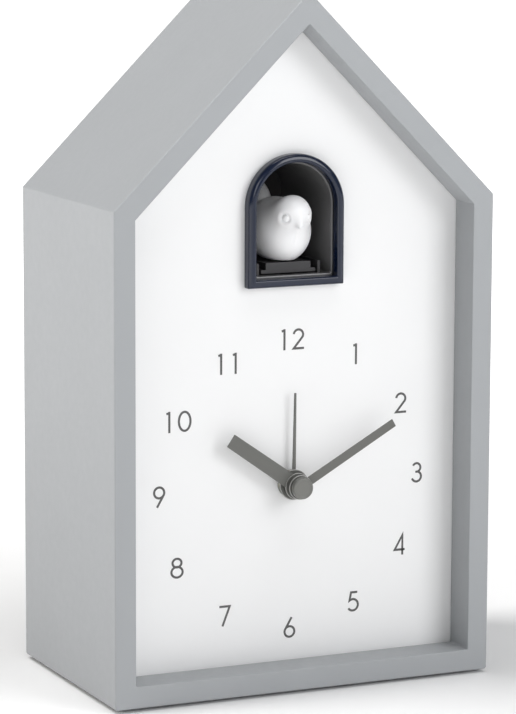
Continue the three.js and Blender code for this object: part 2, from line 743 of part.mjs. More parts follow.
add('case_shell', caseShell(), shellGrey.clone());
add('dial_panel', dialPanel(), plastic(DIAL_WHITE, 0.6));
add('window_frame', windowFrame(), plastic(FRAME_NAVY, 0.25));
for (const [name, x, y] of [
  ['foot_front_left', -50, -28],
  ['foot_front_right', 50, -28],
  ['foot_rear_left', -50, 28],
  ['foot_rear_right', 50, 28],
]) {
  add(name, foot(x, y), plastic(0x2a2a2b, 0.8));
}

add('niche_liner', nicheLiner(), plastic(NICHE_BLACK, 0.45));
add('bird', bird(), plastic(BIRD_WHITE, 0.4));
add('bird_carriage', birdCarriage(), plastic(NICHE_BLACK, 0.5));

const dialAxis = new THREE.Group();
dialAxis.position.set(0, 0, DIAL_Z);
clock.add(dialAxis);
add('alarm_hand', alarmHand(), handPaint.clone(), dialAxis);
add('hour_hand', hourHand(), handPaint.clone(), dialAxis).rotation.y = HOUR_ANGLE;
add('minute_hand', minuteHand(), handPaint.clone(), dialAxis).rotation.y = MINUTE_ANGLE;
add('hub_cap', hubCap(), handPaint.clone(), dialAxis);
add('movement_front', movementFront(), white.clone(), dialAxis);
add('movement_rear', movementRear(), black.clone(), dialAxis);
add('center_wheel', centerWheel(), metal(BRASS, 0.35), dialAxis);
add('hour_wheel', hourWheel(), white.clone(), dialAxis);
add('alarm_wheel', alarmWheel(), white.clone(), dialAxis);
add('third_wheel', thirdWheel(), white.clone(), dialAxis).position.z = THIRD_Z - DIAL_Z;
add('minute_wheel', minuteWheel(), white.clone(), dialAxis).position.x = TIME_STEM_X;
add('alarm_stem', alarmStem(), white.clone(), dialAxis).position.x = ALARM_STEM_X;
add('stepper_module', stepperModule(), metal(0xb06a35, 0.4), dialAxis);
add('time_knob', knob(TIME_STEM_X), black.clone(), dialAxis);
add('alarm_knob', knob(ALARM_STEM_X), black.clone(), dialAxis);
for (const [name, x] of [['movement_screw_left', -31], ['movement_screw_right', 31]]) {
  const headY = MOVEMENT_FRONT_Y + 1.5 + GAP;
  add(name, crossScrew(x, 0, PANEL_BACK_Y + 0.2, headY, 2.4), steel.clone(), dialAxis);
}

const driveAxis = new THREE.Group();
driveAxis.position.set(0, DRIVE_Y, DRIVE_Z);
clock.add(driveAxis);
add('drive_gear', driveGear(), white.clone(), driveAxis);
const motorAxis = new THREE.Group();
motorAxis.position.set(0, MOTOR_Y, MOTOR_Z);
clock.add(motorAxis);
add('motor_pinion', motorPinion(), metal(BRASS, 0.35), motorAxis);
add('motor', motor(), steel.clone());
add('drive_bracket', driveBracket(), black.clone());
add('home_sensor', homeSensor(), black.clone());

add('rear_cover', rearCover(), shellGrey.clone());
for (const side of [-1, 1]) {
  SCREW_Z.forEach((z, row) => {
    const name = `cover_screw_${row === 0 ? 'lower' : 'upper'}_${side < 0 ? 'left' : 'right'}`;
    add(name, crossScrew(side * SCREW_X, z, 22, BACK_Y - 1.3, 2.7), steel.clone());
  });
}
add('battery_door', batteryDoor(), shellGrey.clone());
add('battery_holder', batteryHolder(), black.clone());
add('battery_lower', battery(BATTERY_Z[0], 1), plastic(0x2e3a4a, 0.35));
add('battery_upper', battery(BATTERY_Z[1], -1), plastic(0x2e3a4a, 0.35));
add('contact_bridge', contactPlate(1, 10, 41).add(spring(29, BATTERY_Z[1], -1)), steel.clone());
add('contact_positive', contactPlate(-1, 28.5, 41), steel.clone());
add('contact_negative', contactPlate(-1, 10, 22.5).add(spring(-29, BATTERY_Z[0], 1)), steel.clone());
add('control_cup', controlCup(), shellGrey.clone());

add('speaker_frame', speakerFrame().translate([SPEAKER_X, 0, SPEAKER_Z]), steel.clone());
add('speaker_cone', speakerCone().translate([SPEAKER_X, 0, SPEAKER_Z]), plastic(0x1d1d1d, 0.9));
add('speaker_magnet', speakerMagnet().translate([SPEAKER_X, 0, SPEAKER_Z]), steel.clone());
add('main_board', mainBoard(), plastic(BOARD_GREEN, 0.5));
add('sound_chip', soundChip(), plastic(0x17181a, 0.4));
add('alarm_switch_body', switchBody(ALARM_SWITCH_Z), steel.clone());
add('chime_switch_body', switchBody(CHIME_SWITCH_Z), steel.clone());
add('alarm_switch', switchSlider(ALARM_SWITCH_Z), black.clone());
add('chime_switch', switchSlider(CHIME_SWITCH_Z), black.clone());
add('tact_switch', tactSwitch(), steel.clone());
add('test_button', testButton(), black.clone());

export default clock;
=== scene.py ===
"""Cuckoo clock: the looks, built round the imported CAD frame.

Pieces are made in millimetres, and place() scales them to metres. The clock faces -Y.
"""

import math

import bmesh
import bpy
import numpy as np
from mathutils import Matrix, Vector


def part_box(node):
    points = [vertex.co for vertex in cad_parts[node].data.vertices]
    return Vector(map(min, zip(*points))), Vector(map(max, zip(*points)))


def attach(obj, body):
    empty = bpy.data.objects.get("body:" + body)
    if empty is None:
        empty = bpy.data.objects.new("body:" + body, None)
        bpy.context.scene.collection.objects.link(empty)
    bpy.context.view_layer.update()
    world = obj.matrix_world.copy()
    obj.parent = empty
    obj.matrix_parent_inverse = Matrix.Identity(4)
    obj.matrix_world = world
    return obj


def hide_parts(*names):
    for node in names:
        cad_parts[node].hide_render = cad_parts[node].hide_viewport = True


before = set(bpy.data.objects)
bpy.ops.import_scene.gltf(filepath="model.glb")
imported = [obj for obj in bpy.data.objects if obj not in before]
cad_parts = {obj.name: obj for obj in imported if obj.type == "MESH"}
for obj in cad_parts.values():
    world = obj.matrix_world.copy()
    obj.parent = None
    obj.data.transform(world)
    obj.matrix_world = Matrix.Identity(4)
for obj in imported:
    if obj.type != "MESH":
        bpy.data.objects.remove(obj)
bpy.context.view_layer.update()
MM = 0.001

# ------------------------ sizes of the CAD, in mm

WIDTH = 120.0
HEIGHT = 204.0
CASE_BOTTOM = 1.0
FRONT_Y = -36.0
BACK_Y = 36.0
# The front rim's width, and the thickness of the case's walls.
RIM = 6.5
SKIN = 2.5
RIM_BACK_Y = -24.9
# The dial and the rear cover have the case's outline, inset by PANEL_INSET.
PANEL_INSET = 2.8
DIAL_Y = -24.6
PANEL_BACK_Y = -23.1
COVER_Y = 33.0
# The height of the hands' axis.
DIAL_Z = 60.4
# The window is straight up to ARCH_SPRING_Z, and its foot is half its width below ARCH_CENTRE_Z.
ARCH_CENTRE_Z = 134.2
ARCH_SPRING_Z = 142.1
WINDOW_HALF = 14.2
NICHE_BACK_Y = 9.4
# Places of the rear's fittings, as (x, z).
BOSSES = [(x, z) for x in (-53.0, 53.0) for z in (12.0, 136.0)]
SCREWS = [(x, z) for x in (-51.0, 51.0) for z in (12.0, 136.0)]
SWITCHES = [(-34.0, 122.0), (-34.0, 108.0)]
TEST_BUTTON = (-34.0, 94.0)
SPEAKER = (24.0, 112.0)
# Openings in the rear cover, as left, right, low and high.
DOOR_OPENING = (-29.3, 29.3, 8.9, 42.2)
KNOB_OPENING = (-26.5, 26.5, 48.9, 71.9)

# ------------------------ fitted to the photograph, in mm

# How far right and up the window's bead and niche sit in their opening.
WINDOW_SHIFT = (0.25, -0.15)
# The ring of numerals: its reach across and up, its drop below the hands' axis, and its rise to the
# right in mm per mm.
NUMERAL_REACH = (41.6, 42.95)
NUMERAL_DROP = 0.4
NUMERAL_RISE = 0.008

# ------------------------ outlines


def rounded(points, radii, steps=5, closed=True):
    """The polyline with its corners as arcs of steps + 1 points. A radius of 0 keeps a corner sharp."""
    result = []
    count = len(points)
    for index, point in enumerate(points):
        radius = radii[index] if isinstance(radii, (list, tuple)) else radii
        at_end = not closed and index in (0, count - 1)
        if radius <= 0 or at_end:
            result.append(tuple(point))
            continue
        corner = Vector(point)
        before = (Vector(points[index - 1]) - corner).normalized()
        after = (Vector(points[(index + 1) % count]) - corner).normalized()
        half = before.angle(after) / 2
        start = corner + before * radius / math.tan(half)
        end = corner + after * radius / math.tan(half)
        centre = corner + (before + after).normalized() * radius / math.sin(half)
        turn = (start - centre).angle(end - centre)
        for step in range(steps + 1):
            share = step / steps
            near = (start - centre) * math.sin((1 - share) * turn)
            far = (end - centre) * math.sin(share * turn)
            result.append(tuple(centre + (near + far) / math.sin(turn)))
    return result


def house(inset, corner):
    """The pentagon of the case in (x, z), inset by that much, with rounded corners."""
    half = WIDTH / 2 - inset
    bottom = CASE_BOTTOM + inset
    apex = HEIGHT - inset * math.sqrt(2)
    eave = apex - half
    points = [(-half, bottom), (half, bottom), (half, eave), (0, apex), (-half, eave)]
    return rounded(points, corner, steps=6)


def arch(half, corner=0.6, steps=40):
    """The window's arch in (x, z): square at its foot, a half circle of radius half above."""
    bottom = ARCH_CENTRE_Z - half
    points = [(half, ARCH_SPRING_Z), (-half, ARCH_SPRING_Z), (-half, bottom), (half, bottom)]
    foot = rounded(points, [0, 0, corner, corner], steps=4)[2:]
    top = []
    for step in range(steps + 1):
        angle = math.pi * step / steps
        top.append((half * math.cos(angle), ARCH_SPRING_Z + half * math.sin(angle)))
    return top + foot


def circle(radius, centre=(0.0, 0.0), segments=64, start=0.0, sweep=2 * math.pi):
    """Points round a circle. A full one doesn't repeat its first point."""
    count = segments if sweep >= 2 * math.pi else segments + 1
    angles = [start + sweep * step / segments for step in range(count)]
    return [(centre[0] + radius * math.cos(a), centre[1] + radius * math.sin(a)) for a in angles]


def arc(cx, cy, rx, ry, start, end, steps=28):
    """Points along an ellipse between two angles in degrees."""
    result = []
    for step in range(steps + 1):
        angle = math.radians(start + (end - start) * step / steps)
        result.append((cx + rx * math.cos(angle), cy + ry * math.sin(angle)))
    return result


def rectangle(left, right, low, high, corner=0.0, steps=5):
    """A rectangle, with rounded corners."""
    return rounded([(left, low), (right, low), (right, high), (left, high)], corner, steps)


def slot_outline(half_length, half_height, centre):
    """A slot with round ends."""
    reach = half_length - half_height
    right = circle(half_height, (centre[0] + reach, centre[1]), 16, -math.pi / 2, math.pi)
    left = circle(half_height, (centre[0] - reach, centre[1]), 16, math.pi / 2, math.pi)
    return right + left


# ------------------------ meshes


def add_object(name, data):
    """An object with that data, in the scene."""
    obj = bpy.data.objects.new(name, data)
    bpy.context.scene.collection.objects.link(obj)
    return obj


def new_object(name, verts, faces):
    """An object from points, its faces turned outwards."""
    mesh = bpy.data.meshes.new(name)
    mesh.from_pydata([tuple(v) for v in verts], [], faces)
    obj = add_object(name, mesh)
    tidy_mesh(obj)
    return obj


def tidy_mesh(obj, distance=0.002):
    """Joins doubled points and turns the faces outwards."""
    bm = bmesh.new()
    bm.from_mesh(obj.data)
    bmesh.ops.remove_doubles(bm, verts=bm.verts, dist=distance)
    bmesh.ops.dissolve_degenerate(bm, edges=bm.edges, dist=distance)
    bmesh.ops.recalc_face_normals(bm, faces=bm.faces)
    bm.to_mesh(obj.data)
    bm.free()


def evaluated_mesh(obj):
    """A mesh of the object as it shows: a filled curve, or a mesh with its modifiers."""
    bpy.context.view_layer.update()
    evaluated = obj.evaluated_get(bpy.context.evaluated_depsgraph_get())
    return bpy.data.meshes.new_from_object(evaluated)


def apply_modifiers(obj):
    """Leaves the object with its modified mesh and no modifiers."""
    mesh = evaluated_mesh(obj)
    obj.modifiers.clear()
    obj.data = mesh
    return obj


def loft(name, rings, closed=False):
    """A skin through rings of one length. Open ends are capped."""
    verts = [point for ring in rings for point in ring]
    count = len(rings[0])
    faces = []
    last = len(rings) if closed else len(rings) - 1
    for index in range(last):
        near = index * count
        far = (index + 1) % len(rings) * count
        for step in range(count):
            following = (step + 1) % count
            faces.append((near + step, near + following, far + following, far + step))
    if not closed:
        faces.append(tuple(range(count)))
        faces.append(tuple(range((len(rings) - 1) * count, len(rings) * count)))
    return new_object(name, verts, faces)


def plate(name, loops, low, high, bevel=0.0, steps=3):
    """A flat piece from y low to y high: the first loop is its outline and the others are holes."""
    curve = bpy.data.curves.new(name, "CURVE")
    curve.dimensions = "2D"
    curve.fill_mode = "BOTH"
    curve.extrude = (high - low) / 2 - bevel
    curve.bevel_depth = bevel
    curve.bevel_resolution = steps
    curve.offset = -bevel
    for points in loops:
        spline = curve.splines.new("POLY")
        spline.points.add(len(points) - 1)
        for knot, (x, z) in zip(spline.points, points):
            knot.co = (x, z, 0, 1)
        spline.use_cyclic_u = True
    flat = add_object(name, curve)
    mesh = evaluated_mesh(flat)
    bpy.data.objects.remove(flat)
    upright = Matrix.Rotation(math.pi / 2, 4, "X")
    mesh.transform(Matrix.Translation((0, (low + high) / 2, 0)) @ upright)
    obj = add_object(name, mesh)
    tidy_mesh(obj)
    return obj


def along(axis, centre, radius, angle, distance):
    """A point at that radius, angle and distance about a line parallel to the axis."""
    across = radius * math.cos(angle)
    upward = radius * math.sin(angle)
    if axis == "X":
        return (distance, centre[0] + across, centre[1] + upward)
    if axis == "Y":
        return (centre[0] + across, distance, centre[1] + upward)
    return (centre[0] + across, centre[1] + upward, distance)


def lathe(name, profile, centre=(0.0, 0.0), axis="Y", segments=72, shape=None):
    """A turned solid, from a profile of (radius, distance) points.

    The profile is closed if it doesn't start and end on the axis. shape(angle, distance) scales the
    radius, for flutes.
    """
    on_axis = profile[0][0] < 1e-6 and profile[-1][0] < 1e-6
    rings = []
    for radius, distance in profile:
        ring = []
        for step in range(segments):
            angle = 2 * math.pi * step / segments
            scale = shape(angle, distance) if shape else 1.0
            ring.append(along(axis, centre, radius * scale, angle, distance))
        rings.append(ring)
    return loft(name, rings, closed=not on_axis)


def box(name, low, high, bevel=0.2, steps=3):
    """A block with rounded edges."""
    verts = [(x, y, z) for x in (low[0], high[0]) for y in (low[1], high[1]) for z in (low[2], high[2])]
    faces = [(0, 1, 3, 2), (4, 6, 7, 5), (0, 4, 5, 1), (2, 3, 7, 6), (0, 2, 6, 4), (1, 5, 7, 3)]
    obj = new_object(name, verts, faces)
    if bevel > 0:
        soften(obj, bevel, steps)
    return obj


def soften(obj, width, steps=3, angle=35):
    """Rounds the edges that are sharper than the angle."""
    bevel = obj.modifiers.new("edges", "BEVEL")
    bevel.width = width
    bevel.segments = steps
    bevel.limit_method = "ANGLE"
    bevel.angle_limit = math.radians(angle)
    bevel.use_clamp_overlap = True
    return apply_modifiers(obj)


def cut(obj, *cutters):
    """Takes the cutters away from the object."""
    for cutter in cutters:
        boolean = obj.modifiers.new("cut", "BOOLEAN")
        boolean.operation = "DIFFERENCE"
        boolean.solver = "EXACT"
        boolean.object = cutter
    apply_modifiers(obj)
    for cutter in cutters:
        bpy.data.objects.remove(cutter)
    tidy_mesh(obj)
    return obj


def join(name, parts):
    """One object from several. Each part's material slots are kept."""
    bm = bmesh.new()
    materials = []
    for part in parts:
        first = len(bm.faces)
        bm.from_mesh(part.data)
        bm.faces.ensure_lookup_table()
        shift = len(materials)
        own = list(part.data.materials)
        for face in bm.faces[first:]:
            face.material_index = face.material_index + shift if own else 0
        materials.extend(own)
    mesh = bpy.data.meshes.new(name)
    bm.to_mesh(mesh)
    bm.free()
    for finish in materials:
        mesh.materials.append(finish)
    for part in parts:
        bpy.data.objects.remove(part)
    return add_object(name, mesh)


def turn_y(obj, degrees, centre=(0.0, DIAL_Z)):
    """Turns a piece clockwise, as seen from the front, about a line parallel to Y."""
    to_centre = Matrix.Translation((-centre[0], 0, -centre[1]))
    back = Matrix.Translation((centre[0], 0, centre[1]))
    obj.data.transform(back @ Matrix.Rotation(math.radians(degrees), 4, "Y") @ to_centre)
    return obj


# ------------------------ materials

# Frequencies per metre of the colour's, the gloss's and the surface's slow changes.
MOTTLE_SCALE = 45.0
GLOSS_SCALE = 420.0
WAVE_SCALE = 70.0


def noise(nodes, links, space, scale, detail=3.0, roughness=0.55, stretch=None):
    """A noise texture in object space. stretch scales it along x, y and z."""
    texture = nodes.new("ShaderNodeTexNoise")
    texture.inputs["Scale"].default_value = scale
    texture.inputs["Detail"].default_value = detail
    texture.inputs["Roughness"].default_value = roughness
    source = space.outputs["Object"]
    if stretch:
        mapping = nodes.new("ShaderNodeMapping")
        mapping.inputs["Scale"].default_value = stretch
        links.new(source, mapping.inputs["Vector"])
        source = mapping.outputs["Vector"]
    links.new(source, texture.inputs["Vector"])
    return texture.outputs["Fac"]


def ranged(nodes, links, source, low, high, start=0.3, end=0.7):
    """The source between start and end, spread from low to high."""
    spread = nodes.new("ShaderNodeMapRange")
    spread.inputs["From Min"].default_value = start
    spread.inputs["From Max"].default_value = end
    spread.inputs["To Min"].default_value = low
    spread.inputs["To Max"].default_value = high
    links.new(source, spread.inputs["Value"])
    return spread.outputs["Result"]


def tinted(nodes, links, source, first, second):
    """A colour between two, by the source."""
    mix = nodes.new("ShaderNodeMix")
    mix.data_type = "RGBA"
    mix.inputs["A"].default_value = (*first, 1)
    mix.inputs["B"].default_value = (*second, 1)
    links.new(source, mix.inputs["Factor"])
    return mix.outputs["Result"]


def bumped(nodes, links, layers):
    """One normal from several heights: each layer is (height socket, depth in metres)."""
    normal = None
    for height, depth in layers:
        bump = nodes.new("ShaderNodeBump")
        bump.inputs["Strength"].default_value = 1.0
        bump.inputs["Distance"].default_value = depth
        links.new(height, bump.inputs["Height"])
        if normal:
            links.new(normal, bump.inputs["Normal"])
        normal = bump.outputs["Normal"]
    return normal


def material(
    name, colour, roughness, grain=3000.0, depth=4e-6, mottle=0.03, spread=0.05,
    stretch=None, waviness=0.0, **fixed,
):
    """A moulded or machined surface: fine grain, slow change of colour, and uneven gloss.

    colour is linear; grain is its frequency per metre, depth its height in metres, and stretch
    scales it along x, y and z; mottle and spread are how much the colour and the roughness vary;
    waviness is the height of slow waves in metres; fixed gives values for the shader's own sockets.
    """
    mat = bpy.data.materials.new(name)
    mat.use_nodes = True
    nodes = mat.node_tree.nodes
    links = mat.node_tree.links
    shader = nodes["Principled BSDF"]
    space = nodes.new("ShaderNodeTexCoord")
    slow = noise(nodes, links, space, MOTTLE_SCALE, 4.0)
    uneven = noise(nodes, links, space, GLOSS_SCALE, 3.0)
    fine = noise(nodes, links, space, grain, 2.0, stretch=stretch)
    dark = [c * (1 - mottle) for c in colour]
    light = [min(1.0, c * (1 + mottle)) for c in colour]
    paint = tinted(nodes, links, ranged(nodes, links, slow, 0, 1), dark, light)
    links.new(paint, shader.inputs["Base Color"])
    gloss = ranged(nodes, links, uneven, roughness - spread, roughness + spread)
    links.new(gloss, shader.inputs["Roughness"])
    layers = [(fine, depth)]
    if waviness:
        layers.append((noise(nodes, links, space, WAVE_SCALE, 1.0), waviness))
    links.new(bumped(nodes, links, layers), shader.inputs["Normal"])
    for socket, value in fixed.items():
        shader.inputs[socket.replace("_", " ")].default_value = value
    return mat


def grey(value, blue=0.0):
    """A linear grey, with that share more blue and less red."""
    return (value * (1 - blue), value, value * (1 + blue))


MATERIALS = {
    "case_grey": material(
        "case_grey", grey(0.364, 0.035), 0.5, grain=4800, depth=5e-6, mottle=0.012, waviness=6e-6,
    ),
    "dial_white": material(
        "dial_white", grey(0.85), 0.42, grain=3400, depth=3e-6, mottle=0.006, waviness=4e-6,
    ),
    "frame_navy": material(
        "frame_navy", (0.004, 0.009, 0.028), 0.15, grain=3200, depth=2e-7, mottle=0.05, spread=0.015,
        Specular_IOR_Level=0.52,
    ),
    "niche_black": material(
        "niche_black", (0.140, 0.139, 0.141), 0.34, grain=2600, depth=2.5e-6, mottle=0.06,
    ),
    "bird_white": material(
        "bird_white", (0.85, 0.85, 0.858), 0.4, grain=2800, depth=3e-6, mottle=0.012, waviness=1.5e-5,
        Subsurface_Weight=0.5, Subsurface_Scale=0.003, Subsurface_Radius=(1.0, 0.97, 0.95),
    ),
    "hand_grey": material("hand_grey", (0.125, 0.126, 0.116), 0.44, grain=5200, depth=4e-6, mottle=0.05),
    "control_black": material(
        "control_black", (0.020, 0.020, 0.021), 0.5, grain=2000, depth=1.4e-5, mottle=0.15,
    ),
    "gear_plastic": material(
        "gear_plastic", (0.72, 0.70, 0.62), 0.38, grain=2500, depth=5e-6, Subsurface_Weight=0.1,
        Subsurface_Scale=0.001,
    ),
    "brass": material(
        "brass", (0.78, 0.56, 0.25), 0.28, grain=3000, depth=3e-6, mottle=0.08, Metallic=1.0,
    ),
    "steel": material(
        "steel", (0.60, 0.60, 0.61), 0.3, grain=2400, depth=3e-6, mottle=0.06, spread=0.1, Metallic=1.0,
        stretch=(1.0, 1.0, 0.12),
    ),
    "magnet": material("magnet", (0.10, 0.10, 0.105), 0.6, grain=1800, depth=2e-5, mottle=0.2),
    "coil": material("coil", (0.42, 0.14, 0.05), 0.35, grain=4200, depth=2e-5, stretch=(1.0, 8.0, 1.0)),
    "cone": material("cone", (0.030, 0.028, 0.026), 0.78, grain=1600, depth=4e-5, mottle=0.3),
    "board": material("board", (0.022, 0.12, 0.050), 0.36, grain=1500, depth=8e-6, mottle=0.15),
    "chip": material("chip", (0.018, 0.018, 0.019), 0.6, grain=3600, depth=1.2e-5, mottle=0.2),
    "battery": material("battery", (0.46, 0.47, 0.48), 0.3, grain=900, depth=4e-6, Coat_Weight=0.3),
    "foot_rubber": material(
        "foot_rubber", (0.035, 0.035, 0.036), 0.82, grain=1900, depth=3e-5, mottle=0.25,
    ),
}
# Finishes of parts of a piece, or of a piece whose slot has another colour.
# Near black for the collars behind the hands: painted shade in the gaps between them.
COLLAR_PAINTED_SHADE = material("hand_collar_painted_shade", (0.030, 0.029, 0.028), 0.4, grain=4000, depth=3e-6, mottle=0.1)
# Light metal for the ring round each hand's hub: partly a bare metal edge, partly a painted highlight.
EDGE_METAL_AND_HIGHLIGHT = material(
    "hand_edge_metal_and_highlight", (0.40, 0.395, 0.38), 0.34, grain=6000, depth=3e-6, mottle=0.08, Metallic=0.4,
)
# Lighter than the hands' grey: painted light, for the light the cap catches at the front.
CAP_PAINTED_LIGHT = material("cap_grey_painted_light", (0.165, 0.165, 0.152), 0.36, grain=5200, depth=4e-6, mottle=0.05)
CARRIAGE = material(
    "carriage_black", (0.035, 0.034, 0.037), 0.36, grain=2400, depth=6e-6, mottle=0.14,
)
# Light grey for the lower part of the niche's front lip: a painted highlight along its edge.
LIP_PAINTED_HIGHLIGHT = material("niche_lip_painted_highlight", (0.40, 0.40, 0.41), 0.3, grain=4000, depth=2e-6, mottle=0.08)
# Near black for the niche's back wall: painted shade deep in the niche.
BACK_PAINTED_SHADE = material("niche_back_painted_shade", (0.022, 0.021, 0.021), 0.5, grain=2600, depth=4e-6, mottle=0.1)
INK = material("numeral_ink", (0.088, 0.086, 0.085), 0.5, grain=5000, depth=3e-6, mottle=0.1)
SLEEVE = material(
    "battery_sleeve", (0.022, 0.027, 0.036), 0.32, grain=1400, depth=3e-6, Coat_Weight=0.4,
)
BAND = material(
    "battery_band", (0.52, 0.27, 0.11), 0.3, grain=1400, depth=3e-6, Metallic=0.8, Coat_Weight=0.4,
)


# ------------------------ placing pieces


def shade(obj, angle):
    """Smooth shading, with the sharp edges kept and normals that favour the big faces."""
    obj.data.polygons.foreach_set("use_smooth", [True] * len(obj.data.polygons))
    obj.data.set_sharp_from_angle(angle=math.radians(angle))
    weighted = obj.modifiers.new("normals", "WEIGHTED_NORMAL")
    weighted.keep_sharp = True


def place(obj, body, slot, *nodes, angle=40, weighted=True, finish=None):
    """Scales a finished piece to metres, gives it its material, and hangs it on its body."""
    obj.data.transform(Matrix.Scale(MM, 4))
    if weighted:
        shade(obj, angle)
    else:
        obj.data.polygons.foreach_set("use_smooth", [True] * len(obj.data.polygons))
    if not obj.data.materials:
        obj.data.materials.append(finish or MATERIALS[slot])
    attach(obj, body)
    if nodes:
        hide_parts(*nodes)
    return obj


def node_box(node):
    """A node's lowest and highest corners, in mm."""
    low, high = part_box(node)
    return low / MM, high / MM


def middle(node):
    """The middle of a node's box, in mm."""
    low, high = node_box(node)
    return (low + high) / 2


# ------------------------ case and dial

CASE_CORNER = 0.9
INNER_CORNER = 0.5
BOSS_FRONT_Y = 18
BOSS_BACK_Y = 32.7


def house_ring(inset, y):
    """The case's outline at that inset and depth, as 3-D points."""
    corner = max(CASE_CORNER - inset, INNER_CORNER)
    return [(x, y, z) for x, z in house(inset, corner)]


def make_case():
    """The grey body: outer skin, front rim, recess wall, the cavity behind, and the screw bosses."""
    profile = [
        (0.0, BACK_Y), (0.0, FRONT_Y), (RIM, FRONT_Y),
        (RIM, RIM_BACK_Y), (SKIN, RIM_BACK_Y), (SKIN, BACK_Y),
    ]
    radii = [0.5, 0.45, 0.3, 0.2, 0.2, 0.3]
    section = rounded(profile, radii, steps=4)
    parts = [loft("case_shell_body", [house_ring(inset, y) for inset, y in section], closed=True)]
    for x, z in BOSSES:
        parts.append(box("boss", (x - 6, BOSS_FRONT_Y, z - 4), (x + 6, BOSS_BACK_Y, z + 4), 0.5))
    return place(join("case_body", parts), "case", "case_grey", "case_shell")


def make_dial():
    """The white front panel, with the window and the arbor hole."""
    arbor_hole = circle(4.0, (0.0, DIAL_Z))
    loops = [house(PANEL_INSET, INNER_CORNER), arch(WINDOW_HALF), arbor_hole]
    panel = plate("dial_face", loops, DIAL_Y, PANEL_BACK_Y, 0.15)
    return place(panel, "case", "dial_white", "dial_panel")


def arch_ring(half, y, corner=0.6):
    """The arch at that half width and depth, as 3-D points, set in the opening as in the photograph."""
    across, up = WINDOW_SHIFT
    return [(x + across, y, z + up) for x, z in arch(half, corner, steps=96)]


def make_window_frame():
    """The dark blue bead round the window, with its sleeve through the panel.

    Its section is in half widths of the arch and y.
    """
    outer_side = arc(13.45, -27.1, 1.8, 1.2, 0, -90, 18)
    inner_side = arc(13.45, -27.7, 0.6, 0.6, -90, -180, 10)
    sleeve = [
        (12.85, -25.3), (13.2, -25.3), (13.2, PANEL_BACK_Y),
        (13.9, PANEL_BACK_Y), (13.9, -24.9), (15.25, -24.9),
    ]
    section = outer_side + inner_side[1:] + sleeve
    bead = loft("window_bead", [arch_ring(half, y, 0.3) for half, y in section], closed=True)
    return place(bead, "case", "frame_navy", "window_frame", angle=50)


# The lip's front faces lie between the first two depths; below the height after them they take a painted
# highlight.
LIP_FRONT_Y = -24.98
LIP_BACK_Y = -24.7
LIP_HIGHLIGHT_TOP_Z = ARCH_CENTRE_Z - 11.0


def make_tunnel():
    """The niche's skin: its inside, front lip, flange and outside, with the slot in its floor."""
    profile = [
        (12.3, NICHE_BACK_Y), (12.3, -25.0), (12.9, -25.0), (12.9, -22.8),
        (17.5, -22.8), (17.5, -21.6), (13.8, -21.6), (13.8, 10.9),
    ]
    radii = [0, 0.28, 0.2, 0, 0.2, 0.2, 0, 0]
    section = rounded(profile, radii, steps=4, closed=False)
    tunnel = loft("tunnel", [arch_ring(half, y, 0.4) for half, y in section])
    cut(tunnel, box("slot", (-1.9, -21.4, 118.0), (1.9, -0.6, 123.0), 0))
    for finish in (MATERIALS["niche_black"], LIP_PAINTED_HIGHLIGHT, BACK_PAINTED_SHADE):
        tunnel.data.materials.append(finish)
    for face in tunnel.data.polygons:
        # The lip's front low in the arch takes a painted highlight.
        on_lip_highlight = LIP_FRONT_Y < face.center.y < LIP_BACK_Y and face.center.z < LIP_HIGHLIGHT_TOP_Z
        # The back wall takes a painted shade.
        at_back = face.center.y > NICHE_BACK_Y - 0.3
        face.material_index = 1 if on_lip_highlight else 2 if at_back else 0
    return tunnel


def make_niche():
    """The black tunnel behind the window, with its two guide rails."""
    parts = [make_tunnel()]
    for side in (-1, 1):
        x_low, x_high = sorted((side * 9.3, side * 10.3))
        rail = box("rail", (x_low, -22.6, 121.5), (x_high, 4.0, 125.3), 0.2)
        rail.data.materials.append(CARRIAGE)
        parts.append(rail)
    return place(join("niche_tunnel", parts), "case", "niche_black", "niche_liner")


# ------------------------ hands


def hand_outline(near, far, length, hub, tip=0.12):
    """A blade that tapers from its hub to a square tip, pointing up."""
    start = math.asin(near / hub)
    round_hub = circle(hub, (0.0, DIAL_Z), 56, math.pi / 2 + start, 2 * math.pi - 2 * start)
    ends = [(far, DIAL_Z + length), (-far, DIAL_Z + length)]
    corner = rounded([(near, DIAL_Z + hub), *ends, (-near, DIAL_Z + hub)], tip, 3, closed=False)[1:-1]
    return round_hub + corner


def make_hand(name, near, far, length, hub, collar, bore, front, back, degrees, body, node):
    """A flat hand, a metal edge round its hub that is partly painted highlight, and a collar of painted
    shade.

    near and far are the blade's half widths at its hub and its tip; hub, collar and bore are
    radii; front and back are y; degrees is where it points at rest, clockwise from 12.
    """
    thick = 0.5
    axis = (0.0, DIAL_Z)
    loops = [hand_outline(near, far, length, hub), circle(bore, axis, 40)]
    blade = plate(name + "_blade", loops, front, front + thick, 0.1)
    blade.data.materials.append(MATERIALS["hand_grey"])
    profile = [(bore, front + 0.3), (collar, front + 0.3), (collar, back), (bore, back)]
    ring = lathe(name + "_collar", rounded(profile, [0, 0, 0.12, 0.12], 3), axis, segments=56)
    # Near black: painted shade in the gap between the hands.
    ring.data.materials.append(COLLAR_PAINTED_SHADE)
    rim = [
        (hub - 0.22, front - 0.05), (hub + 0.02, front - 0.05),
        (hub + 0.02, front + 0.2), (hub - 0.22, front + 0.2),
    ]
    edge = lathe(name + "_edge", rounded(rim, [0.06, 0.11, 0.06, 0], 3), axis, segments=72)
    # A light metal edge, partly a painted highlight.
    edge.data.materials.append(EDGE_METAL_AND_HIGHLIGHT)
    hand = join(name, [blade, ring, edge])
    turn_y(hand, degrees)
    return place(hand, body, "hand_grey", node)


